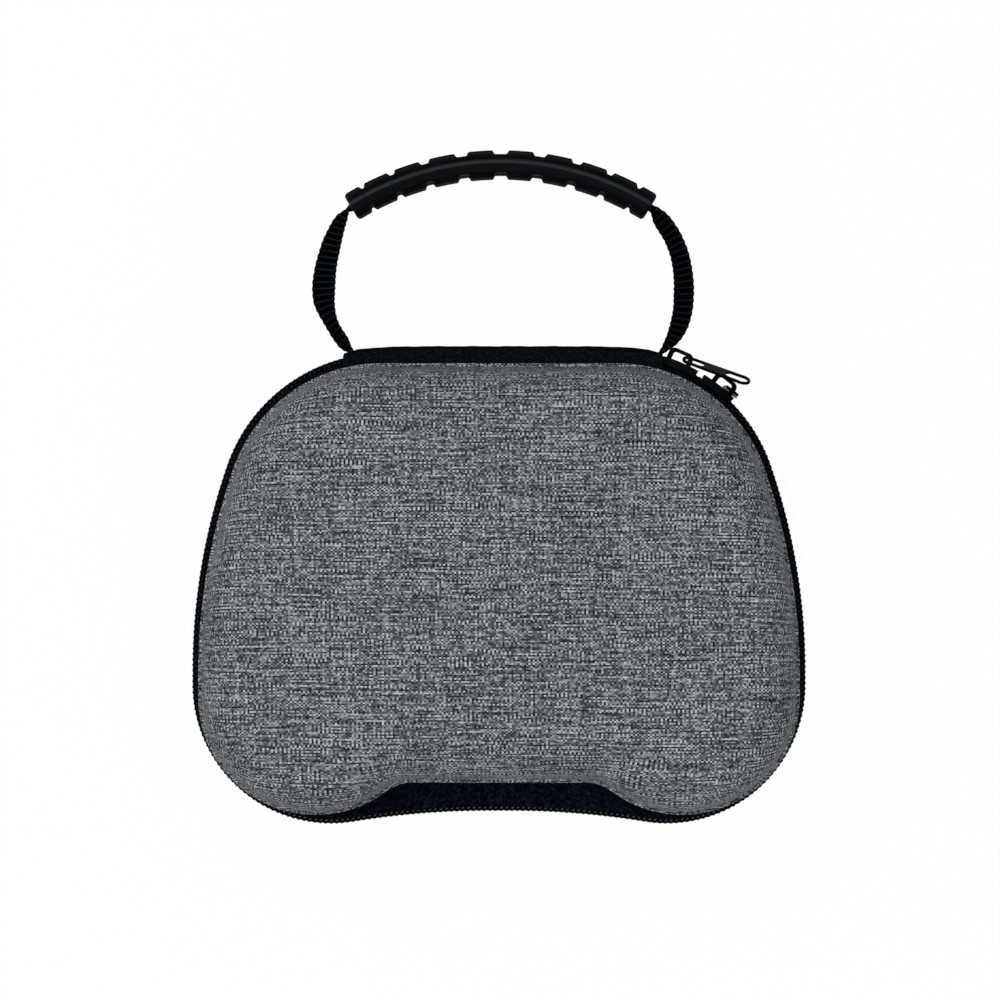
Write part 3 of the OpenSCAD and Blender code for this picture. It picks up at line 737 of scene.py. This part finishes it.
# Coils: one bent wire each, whose turns reach past the middle and mesh with the other coil's.
coil = dict(
    pitch=1.62, wireR=0.33, mesh=0.75, back=2.62, lineIn=0.40, outer=-0.03, inner=0.62,
    partLow=50.5, partHigh=67.6, partZ=1.45, squashLow=24.5, squashHigh=50.5, sides=8,
    flat=1.4, endGap=0.35,
)
coilPath, coilOut = zipLine.inset(coil["lineIn"]).path(*zipEnds)
coilRun = lengths(coilPath)
coilRun = coilRun - coilRun[np.argmin(np.abs(coilPath[:, 0]) + (coilPath[:, 1] > 0) * 1e3)]


def alongCoil(s):
    place = np.stack([np.interp(s, coilRun, coilPath[:, k]) for k in (0, 1)], -1)
    out = np.stack([np.interp(s, coilRun, coilOut[:, k]) for k in (0, 1)], -1)
    return place, out / np.linalg.norm(out, axis=-1, keepdims=True)


def tube(path, radius, sides):
    path = np.asarray(path)
    ahead = np.gradient(path, axis=0)
    ahead /= np.linalg.norm(ahead, axis=1, keepdims=True)
    ups = np.zeros_like(path)
    up = np.cross(ahead[0], [0.3, 0.2, 1.0])
    for i, t in enumerate(ahead):
        up = up - t * (up @ t)
        up /= np.linalg.norm(up)
        ups[i] = up
    sideways = np.cross(ahead, ups)
    turns = np.arange(sides) * (2 * math.pi / sides)
    radius = np.broadcast_to(np.asarray(radius, float), (len(path),))[:, None, None]
    circle = np.cos(turns)[None, :, None] * ups[:, None] + np.sin(turns)[None, :, None] * sideways[:, None]
    return path[:, None] + circle * radius


# One turn goes out to its head on the outer level and comes back on the inner one.
def coilTurns(positions, up):
    rows = []
    for s, head in positions:
        legs = [
            (0.00, coil["back"] - 0.35, coil["outer"]), (0.06, 1.5, coil["outer"]),
            (0.10, head + 0.75, coil["outer"]), (0.13, head + 0.42, coil["outer"] + 0.04),
            (0.16, head + 0.33, coil["outer"] + 0.25), (0.18, head + 0.36, coil["inner"] - 0.22),
            (0.20, head + 0.5, coil["inner"] - 0.04), (0.24, head + 0.85, coil["inner"]),
            (0.34, 1.6, coil["inner"]), (0.50, coil["back"] - 0.25, coil["inner"]),
            (0.70, coil["back"], coil["inner"] - 0.2), (0.88, coil["back"], coil["outer"] + 0.2),
        ]
        for share, z, deep in legs:
            if head > 0 and z == 1.5:
                z = 1.9
            place, out = alongCoil(s + (share - 0.12) * coil["pitch"])
            spot = place - out * deep
            rows.append((spot[0], spot[1], midZ + up * z, out[1], -out[0], 0.0))
    return np.array(rows)


def makeCoil(side, offset):
    up = halves[side]
    count = int(max(-coilRun[0], coilRun[-1]) / coil["pitch"]) + 2
    s = (np.arange(-count, count + 1) + offset) * coil["pitch"]
    s = s[(s > coilRun[0] + coil["endGap"]) & (s < coilRun[-1] - coil["endGap"])]
    places, _ = alongCoil(s)
    turn = np.where(places[:, 0] > arcC[0], turnOf(places), -90)
    parted = (turn > coil["partLow"]) & (turn < coil["partHigh"])
    heads = np.where(parted, coil["partZ"] - 0.33, -coil["mesh"])
    runs = dict(
        Coil=s[turn <= coil["squashLow"]],
        CoilStretch=s[(turn > coil["squashLow"]) & (turn <= coil["squashHigh"])],
        CoilEnd=s[turn > coil["squashHigh"]],
    )
    made = {}
    for label, part in runs.items():
        chosen = [(x, heads[np.argmin(np.abs(s - x))]) for x in part]
        wire = coilTurns(chosen, up)
        path, ahead = wire[:, None, :3], wire[:, None, 3:]
        rings = tube(wire[:, :3], coil["wireR"], coil["sides"])
        # The wire is wider along the zip than through it.
        rings = rings + ahead * ((rings - path) * ahead).sum(-1, keepdims=True) * (coil["flat"] - 1)
        points, faces = tubeArrays(rings)
        thing = meshObject(side + "Zip" + label, points, faces, None, (finishes["coil"],))
        fixNormals(thing)
        replaced = (side + "_zip_coil",) if label == "Coil" else ()
        settle(thing, side + "_half", "zip_coil", *replaced)
        made[label] = thing
    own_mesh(made["CoilStretch"])
    return s, turn


def makeStitches(side, s, turn):
    stitch = dict(radius=0.25, slant=0.3, low=2.75, high=3.2, lowIn=0.6, highIn=1.12, sides=6)
    up = halves[side]
    points, faces = [], []
    for x in s[turn < tape["flexTurn"] - 1]:
        ends = []
        for way, z, deep in ((-1, stitch["low"], stitch["lowIn"]), (1, stitch["high"], stitch["highIn"])):
            place, out = alongCoil(x + up * way * stitch["slant"])
            ends.append(np.array([*(place - out * deep), midZ + up * z]))
        shares = np.array([0, 0.06, 0.25, 0.75, 0.94, 1.0])
        path = ends[0] + (ends[1] - ends[0]) * shares[:, None]
        radii = stitch["radius"] * np.array([0.35, 0.8, 1, 1, 0.8, 0.35])
        own, quads = tubeArrays(tube(path, radii, stitch["sides"]))
        start = sum(len(p) for p in points)
        points.append(own)
        faces += [[k + start for k in f] for f in quads]
    thing = meshObject(side + "ZipStitches", np.concatenate(points), faces, None, (finishes["thread"],))
    fixNormals(thing)
    return settle(thing, side + "_half", "zip_tape")


for side, offset in (("back", 0.0), ("front", 0.5)):
    makeStitches(side, *makeCoil(side, offset))
print("coils made")


# Spine: herringbone cloth from each rim over the fold to the ridge between the two halves.
spine = dict(
    bulge=1.5, thick=0.55, endDip=0.7, over=3.5, fall=12.0,
    profile=((65.0, 8.94), (66.4, 8.96), (67.6, 9.0), (68.8, 8.96), (69.6, 8.7), (70.2, 8.1),
             (70.5, 7.3), (70.66, 6.2), (70.9, 4.6), (71.18, 3.1), (71.4, 1.5), (71.5, 0.0)),
)


def smoothed(points, count):
    points = np.asarray(points, float)
    run = lengths(points)
    slopes = np.gradient(points, run, axis=0)
    t = np.linspace(0, run[-1], count)
    i = np.clip(np.searchsorted(run, t, side="right") - 1, 0, len(run) - 2)
    h = (run[i + 1] - run[i])[:, None]
    w = ((t - run[i])[:, None]) / h
    a, b = points[i], points[i + 1]
    return (
        (2 * w**3 - 3 * w**2 + 1) * a + (w**3 - 2 * w**2 + w) * h * slopes[i]
        + (3 * w**2 - 2 * w**3) * b + (w**3 - w**2) * h * slopes[i + 1]
    )


def endFall(x):
    u = np.abs(x / spineHalf)
    return spine["bulge"] * spine["endDip"] * np.minimum(u, 1) ** 6 + spine["fall"] * np.maximum(u - 0.99, 0)


def makeSpine(side):
    up = halves[side]
    profile = smoothed(spine["profile"], 34)
    direction = np.gradient(profile, axis=0)
    direction /= np.linalg.norm(direction, axis=1, keepdims=True)
    inward = np.stack([direction[:, 1], -direction[:, 0]], -1)
    reach = spineHalf + spine["over"]
    x = np.concatenate([
        [-reach, -reach + 0.12, -reach + 0.4], np.linspace(-reach + 1.2, reach - 1.2, 124),
        [reach - 0.4, reach - 0.12, reach]])
    # Each profile is drawn out from the shell's rim to the ridge, which both fall towards the ends.
    over = np.maximum(np.abs(x + shift) - shellLine.cornerC[0], 0)
    rim = shellLine.cornerC[1] + np.sqrt(shellLine.cornerR**2 - over**2) - 1.2
    ridge = spine["profile"][-1][0] - endFall(x) + 0.04 * np.sin(x * 0.55) + 0.03 * np.sin(x * 1.31 + 0.8)
    first, last = profile[0, 0], profile[-1, 0]
    share = (profile[:, 0] - first) / (last - first)
    edge = np.clip((reach - np.abs(x)) / 0.4, 0, 1)
    thin = spine["thick"] * (1 - np.sqrt(1 - (1 - edge) ** 2)) * 0.25
    y = rim[None, :] + (ridge - rim)[None, :] * share[:, None]
    front = np.stack(np.broadcast_arrays(x[None, :] + shift, y - thin[None, :], midZ + up * profile[:, 1:]), -1)
    deep = profile + inward * spine["thick"]
    deepShare = np.minimum((deep[:, 0] - first) / (last - first), share - 0.02)
    y = rim[None, :] + (ridge - rim)[None, :] * deepShare[:, None]
    back = np.stack(np.broadcast_arrays(
        x[None, :] + shift, y, midZ + up * np.maximum(deep[:, 1:], 0.0)), -1)
    run = lengths(profile)
    cloth = np.stack(np.broadcast_arrays(x[None, :], (run[-1] - run)[:, None] * up), -1)
    made = slab(side + "SpineCloth", front, back, cloth, (finishes["herringbone"],))
    fixNormals(made)
    if side == "front":
        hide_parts("spine_strip")
    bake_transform(made)
    2 * spineHalf * mm
    return made


for side in halves:
    makeSpine(side)
print("spine made")


# Ribbon bindings inside the rims, each with its hem under the rim, and the spine's inner panel.
binding = dict(
    low=8.1, high=12.4, lowIn=4.481, highIn=4.898, thick=1.0, hemLow=8.1, hemHigh=8.38,
    hemStart=61.2, hemEnd=69.6,
)


def makeBinding(side):
    up = halves[side]
    b = binding
    section = (
        (b["lowIn"] + 0.12, b["low"]), (b["lowIn"], b["low"] + 0.15), (b["lowIn"] + 0.13, 9.6),
        (b["lowIn"] + 0.27, 11.0), (b["highIn"], b["high"] - 0.3), (b["highIn"] + 0.15, b["high"] - 0.07),
        (b["highIn"] + 0.5, b["high"]), (b["highIn"] + 0.85, b["high"] - 0.07),
        (b["highIn"] + 1.0, b["high"] - 0.3), (b["lowIn"] + 1.27, 11.0), (b["lowIn"] + 1.18, 10.4),
        (b["lowIn"] + 1.13, 9.6), (b["lowIn"] + 1.0, b["low"] + 0.15), (b["lowIn"] + 0.88, b["low"]),
    )
    base, out = shellLine.ring()
    rings = np.array([
        np.concatenate([base - out * inset, np.full((len(base), 1), midZ + up * z)], 1)
        for inset, z in section]).transpose(1, 0, 2)
    rings = np.concatenate([rings, rings[:1]])
    points, faces = tubeArrays(rings, capped=False)
    run = lengths(rings[:, 0])
    cloth = np.stack(np.broadcast_arrays(run[:, None], np.arange(len(section))[None, :] * 0.7), -1)
    cloth = cloth.reshape(-1, 2)
    x = np.linspace(-spineHalf, spineHalf, 80)
    y = np.array([b["hemStart"], b["hemStart"] + 0.1, 63, 65, 67, 68.6, b["hemEnd"] - 0.15, b["hemEnd"]])
    tuck = np.array([0.1, 0.02, 0, 0, 0, 0, 0.03, 0.11])
    # The hem's free edge falls back at both ends, as the spine cloth over it does.
    fallen = endFall(x)[None, :] * ((y - b["hemStart"]) / (b["hemEnd"] - b["hemStart"]))[:, None]
    top = np.stack(np.broadcast_arrays(
        x[None, :] + shift, y[:, None] - fallen, (midZ + up * (b["hemHigh"] - tuck))[:, None]), -1)
    under = np.stack(np.broadcast_arrays(
        x[None, :] + shift, y[:, None] - fallen, (midZ + up * (b["hemLow"] + tuck))[:, None]), -1)
    own = slabFaces(*top.shape[:2])
    start = len(points)
    hemCloth = np.stack(np.broadcast_arrays(x[None, :], y[:, None]), -1).reshape(-1, 2)
    points = np.concatenate([points, top.reshape(-1, 3), under.reshape(-1, 3)])
    cloth = np.concatenate([cloth, hemCloth, hemCloth])
    faces = faces + [[k + start for k in f] for f in own]
    made = meshObject(side + "Binding", points, faces, cloth, (finishes["ribbon"],))
    fixNormals(made)
    return settle(made, side + "_half", "binding", side + "_rim_binding")


def makeLiningPanel():
    panel = dict(low=65.95, high=66.95, half=7.8)
    x = np.concatenate([[-spineHalf, -spineHalf + 0.2], np.linspace(-spineHalf + 1, spineHalf - 1, 84),
                        [spineHalf - 0.2, spineHalf]])
    z = np.concatenate([[-7.8, -7.65], np.linspace(-7.2, 7.2, 14), [7.65, 7.8]])
    edge = np.minimum((spineHalf - np.abs(x))[None, :], (panel["half"] - np.abs(z))[:, None])
    tuck = 0.35 * np.clip(1 - edge / 0.25, 0, 1)
    seam = 0.22 * np.exp(-((edge - 1.6) / 0.3) ** 2)
    inner = np.stack(np.broadcast_arrays(
        x[None, :] + shift, panel["low"] + tuck + seam, midZ + z[:, None]), -1)
    outer = np.stack(np.broadcast_arrays(x[None, :] + shift, panel["high"] - tuck, midZ + z[:, None]), -1)
    cloth = np.stack(np.broadcast_arrays(x[None, :], z[:, None]), -1)
    made = slab("spineLining", inner, outer, cloth, (finishes["ribbon"],))
    fixNormals(made)
    settle(made, "spine", "binding", "spine_lining")
    2 * spineHalf * mm
    return made


for side in halves:
    makeBinding(side)
makeLiningPanel()
print("bindings made")


# Handle: webbing that leaves the spine, swells outward and runs through the grip.
handle = dict(
    gripC=(0.0, 41.5), gripR=83.4, halfW=spineHalf + 9.8, gripIn=9.6, bellyY=87.0, baseOver=3.0,
    baseY=70.4, tailY=67.9, bendR=2.5, tailLen=9.0, kink=1.2, width=15.0, thick=1.5, rib=1.86, step=0.31,
    # Degrees of twist at shares of the way from the foot to the grip.
    twistRight=((0, 0), (0.03, 7), (0.08, 9.5), (0.15, 14), (0.25, 17.5), (0.5, 19.2), (0.64, 17.3),
                (0.83, 15.2), (0.92, 14.6), (0.97, 10), (1, 0)),
    twistLeft=((0, 0), (0.03, 9), (0.08, 12), (0.22, 12), (0.29, 14.4), (0.36, 19), (0.44, 24.3),
               (0.54, 27), (0.69, 23.7), (0.78, 21.8), (0.88, 16.7), (0.93, 14), (0.97, 9), (1, 0)),
    # How far each side leans to the right at each height.
    leanRight=((66, 0.8), (70.4, 1.0), (74, 0.9), (80, 0.35), (86, 0.0), (99, 0.4), (104, 0.2),
               (109, -0.5), (113, -0.7)),
    leanLeft=((66, 1.0), (70.4, 1.3), (74, 1.3), (80, 0.9), (85, 0.4), (99, 0.2), (104, -0.2),
              (109, -0.8), (113, -0.7)),
)
gripAngle = math.degrees(math.asin((handle["halfW"] - handle["gripIn"]) / handle["gripR"]))


def strapLine():
    h = handle
    kinkAngle = 90 - gripAngle - h["kink"]
    belly = np.array([h["halfW"], h["bellyY"]])
    base = np.array([spineHalf + h["baseOver"], h["baseY"]])
    bend = polar(h["gripC"], h["gripR"], kinkAngle)

    def bellyR(p):
        d = belly - p
        return (d @ d) / (2 * d[0])

    lowR, highR = bellyR(base), bellyR(bend)
    lowC, highC = belly - (lowR, 0), belly - (highR, 0)
    baseAngle = angleTo(lowC, base)
    tailTurn = math.radians(baseAngle + 90)
    corner = base[0] - (h["baseY"] - h["tailY"]) / math.tan(tailTurn)
    start = corner - h["bendR"] * math.tan(tailTurn / 2)
    bendC = (start, h["tailY"] + h["bendR"])
    tail = np.concatenate([
        [[start - h["tailLen"], h["tailY"]]], polar(bendC, h["bendR"], np.linspace(-90, baseAngle, 14))])
    lower = polar(lowC, lowR, np.linspace(baseAngle, 0, 40))
    upper = polar(highC, highR, np.linspace(0, angleTo(highC, bend), 60)[1:-3])
    inner = polar(h["gripC"], h["gripR"], np.linspace(kinkAngle, 90, 60))
    share = np.concatenate([
        np.zeros(len(tail)), np.linspace(0, 0.5, len(lower)), np.linspace(0.5, 0.97, len(upper)),
        np.ones(len(inner))])
    twists = [np.interp(share, *np.transpose(h[name])) for name in ("twistRight", "twistLeft")]
    right = np.concatenate([tail, lower, upper, inner])
    line = np.concatenate([right, right[-2::-1] * (-1, 1)])
    twist = np.radians(np.concatenate([twists[0], -twists[1][-2::-1]]))
    run = lengths(line)
    even = np.linspace(0, run[-1], int(run[-1] / h["step"]))
    line = np.column_stack([np.interp(even, run, column) for column in (*line.T, twist)])
    leans = [np.interp(line[:, 1], *np.transpose(h[name])) for name in ("leanRight", "leanLeft")]
    line[:, 0] += np.where(line[:, 0] > 0, *leans)
    line[:, 2] = smear(line[:, 2], 11)
    return line, even


def smear(values, count):
    padded = np.pad(values, count // 2, mode="edge")
    return np.convolve(padded, np.ones(count) / count, "valid")


def makeStrap():
    h = handle
    line, run = strapLine()
    ahead = np.gradient(line[:, :2], axis=0)
    ahead = np.stack([smear(ahead[:, k], 7) for k in (0, 1)], -1)
    ahead /= np.linalg.norm(ahead, axis=1, keepdims=True)
    turn = line[:, 2]
    out = np.stack([ahead[:, 1], -ahead[:, 0]], -1)
    wide = np.column_stack([out * np.sin(turn)[:, None], np.cos(turn)])
    normal = np.column_stack([out * np.cos(turn)[:, None], -np.sin(turn)])
    section = [(-0.5, 0.0), (-0.492, 0.24), (-0.47, 0.42)]
    section += [(w, 0.5) for w in np.linspace(-0.44, 0.44, 15)]
    section += [(0.47, 0.42), (0.492, 0.24), (0.5, 0.0), (0.492, -0.24), (0.47, -0.42)]
    section += [(w, -0.5) for w in np.linspace(0.44, -0.44, 15)]
    section += [(-0.47, -0.42), (-0.492, -0.24)]
    section = np.array(section)
    wave = 0.5 + 0.5 * np.cos(2 * np.pi * run / h["rib"])
    thick = h["thick"] * (0.8 + 0.2 * wave)
    width = h["width"] * (0.972 + 0.028 * wave)
    rings = (
        np.column_stack([line[:, :2], np.zeros(len(line))])[:, None]
        + wide[:, None] * (section[None, :, :1] * width[:, None, None])
        + normal[:, None] * (section[None, :, 1:] * thick[:, None, None])
    )
    rings = rings + (shift, 0, midZ)
    points, faces = tubeArrays(rings)
    cloth = np.stack(np.broadcast_arrays(run[:, None], section[None, :, 0] * h["width"]), -1)
    made = meshObject("handleWebbing", points, faces, cloth.reshape(-1, 2), (finishes["webbing"],))
    fixNormals(made)
    settle(made, "spine", "webbing", "handle_strap")
    h["width"] * mm
    return made


# Grip: a rubber sleeve with rounded finger notches and a thin parting ridge.
grip = dict(
    height=8.0, width=20.0, slotT=1.9, slotW=15.4, notchDepth=1.25, endRound=1.1, longer=0.3, lean=-0.7,
    ridge=0.25, ridgeW=0.7, ridgeAt=0.55, rings=480, slope=1.1,
    # Notches from the middle out: degrees from the middle, and half widths.
    notches=((0, 2.1), (7.66, 1.8), (15.0, 1.4), (21.75, 1.0), (28.0, 0.7)),
)


def makeGrip():
    g = grip
    gripEnd = gripAngle + g["longer"]
    toLength = math.radians(1) * handle["gripR"]
    turns = np.linspace(-gripEnd, gripEnd, g["rings"])
    ends = gripEnd - g["endRound"] / toLength * np.array([1, 0.75, 0.5, 0.3, 0.14, 0.04, 0])
    turns = np.concatenate([-ends[::-1], turns[(np.abs(turns) < ends[0])], ends])
    half = g["height"] / 2
    straight = g["width"] / 2 - half
    bend = np.radians(np.linspace(0, 180, 49))
    run = np.linspace(straight, -straight, 13)[1:-1]
    section = [(half * math.cos(a), straight + half * math.sin(a)) for a in bend]
    section += [(-half, z) for z in run]
    section += [(-half * math.cos(a), -straight - half * math.sin(a)) for a in bend]
    section += [(half, -z) for z in run]
    section = np.array(section)
    facing = np.array([(math.cos(a), math.sin(a)) for a in bend])
    facing = np.concatenate([facing, np.tile([-1.0, 0.0], (len(run), 1)), -facing,
                             np.tile([1.0, 0.0], (len(run), 1))])
    # The ridge stands where the two mould halves met, along the sleeve's two narrow sides.
    ridge = np.exp(-(((section[:, 0] - g["ridgeAt"]) / g["ridgeW"]) ** 4)) * g["ridge"]
    ridge = ridge * (np.abs(section[:, 1]) > straight)
    slot = np.array([g["slotT"] / 2, g["slotW"] / 2])
    inner = section / np.maximum(
        np.abs(section[:, :1]) / slot[0], np.abs(section[:, 1:]) / slot[1]).clip(1e-6)
    rows = []
    for turn in turns:
        # Up to 1 in the floor of a notch.
        blend = max(
            (reach + g["slope"] / 2 - abs(abs(turn) - at) * toLength) / g["slope"] for at, reach in g["notches"])
        blend = min(1, max(0, blend))
        blend = blend * blend * (3 - 2 * blend)
        limit = half + 0.25 - (g["notchDepth"] + 0.25) * blend
        into = (gripEnd - abs(turn)) * toLength
        back = g["endRound"] - math.sqrt(max(0, g["endRound"] ** 2 - max(0, g["endRound"] - into) ** 2))
        ring = section + facing * (ridge[:, None] * (1 - 0.5 * blend) - back)
        high = np.abs(ring[:, 0])
        soft = 0.3
        over = np.clip((high - (limit - soft)) / (2 * soft), 0, None)
        eased = np.where(over < 1, limit - soft + 2 * soft * (over - over**2 / 2), limit)
        ring[:, 0] = np.sign(ring[:, 0]) * np.where(high > limit - soft, np.minimum(high, eased), high)
        rows.append(ring)
    outer = np.array(rows)
    slotRows = np.array([inner] * 10)
    slotTurns = np.array([gripEnd, gripEnd - 0.3, gripEnd - 2, gripEnd - 8, 8])
    slotTurns = np.concatenate([slotTurns, -slotTurns[::-1]])
    allRows = np.concatenate([outer, slotRows])
    allTurns = np.radians(90 + np.concatenate([turns, slotTurns]))[:, None]
    radius = handle["gripR"] + allRows[:, :, 0]
    points = np.stack([
        radius * np.cos(allTurns) + shift + g["lean"], radius * np.sin(allTurns) + handle["gripC"][1],
        midZ + allRows[:, :, 1]], -1)
    m, n = points.shape[:2]
    faces = gridFaces(m, n, around=True)
    last = (m - 1) * n
    for j in range(n):
        k = (j + 1) % n
        faces.append([last + j, last + k, k, j])
    # The faces that the hand closes on are rough, and the ridge isn't on them.
    wall = np.abs(allRows[:, :, 1]) < straight + 0.55 * half
    cloth = np.stack(np.broadcast_arrays(allTurns * handle["gripR"], allRows[:, :, 0] - 9.0 * wall, wall), -1)
    made = meshObject("handleGrip", points.reshape(-1, 3), faces, cloth.reshape(-1, 3), (finishes["rubber"],))
    fixNormals(made)
    return settle(made, "spine", "grip_rubber", "handle_grip")


makeGrip()
makeStrap()
print("handle made")


# Sliders and pulls keep their CAD shapes, with their edges eased.
for name in ("upper_slider", "lower_slider", "upper_slider_pull", "lower_slider_pull"):
    thing = nodes[name]
    thing.data.materials.clear()
    thing.data.materials.append(finishes["enamel"])
    weld = thing.modifiers.new("weld", "WELD")
    weld.merge_threshold = 0.004 * mm
    ease = thing.modifiers.new("ease", "BEVEL")
    ease.width = (0.16 if "pull" in name else 0.22) * mm
    ease.segments = 3
    ease.limit_method = "ANGLE"
    ease.angle_limit = math.radians(35)
    ease.harden_normals = True
print("sliders finished")


# Stage: a plain pale floor, white to the camera, and soft light.
def makeFloor():
    size = 3.0
    data = bpy.data.meshes.new("floor")
    data.from_pydata([(-size, -size, 0), (size, -size, 0), (size, size, 0), (-size, size, 0)], [], [(0, 1, 2, 3)])
    floor = bpy.data.objects.new("floor", data)
    bpy.context.scene.collection.objects.link(floor)
    f = Finish("floorWhite", Base_Color=(0.9, 0.9, 0.9, 1), Roughness=0.9, Specular_IOR_Level=0.0)
    tree = f.tree
    glow = f.node("ShaderNodeEmission", values={"Color": (1, 1, 1, 1), "Strength": 1.0})
    rays = tree.nodes.new("ShaderNodeLightPath")
    seen = Wire(f, rays.outputs["Is Camera Ray"]).most(Wire(f, rays.outputs["Is Glossy Ray"]))
    seen = seen.most(Wire(f, rays.outputs["Is Transmission Ray"]))
    mixed = f.node("ShaderNodeMixShader", values={0: seen * 0.97})
    tree.links.new(f.shader.outputs[0], mixed.socket.node.inputs[1])
    tree.links.new(glow.socket, mixed.socket.node.inputs[2])
    tree.links.new(mixed.socket, tree.nodes["Material Output"].inputs[0])
    data.materials.append(f.material)
    return floor


def areaLight(name, place, target, size, power):
    light = bpy.data.lights.new(name, "AREA")
    light.shape = "DISK"
    light.size = size
    light.energy = power
    made = bpy.data.objects.new(name, light)
    made.location = place
    toward = np.array(target) - np.array(place)
    from mathutils import Vector
    made.rotation_euler = Vector(toward).to_track_quat("-Z", "Y").to_euler()
    bpy.context.scene.collection.objects.link(made)
    return made


makeFloor()
areaLight("keyLight", (-0.35, 0.3, 1.6), (0, 0.03, 0.05), 1.2, 17.0)
areaLight("lowLight", (0.1, -1.1, 0.95), (0, 0.0, 0.03), 0.9, 4.0)
world = bpy.data.worlds.new("studio")
world.use_nodes = True
world.node_tree.nodes["Background"].inputs[0].default_value = (1, 1, 1, 1)
world.node_tree.nodes["Background"].inputs[1].default_value = 0.32
bpy.context.scene.world = world
bpy.context.scene.view_settings.view_transform = "Standard"
print("stage made")
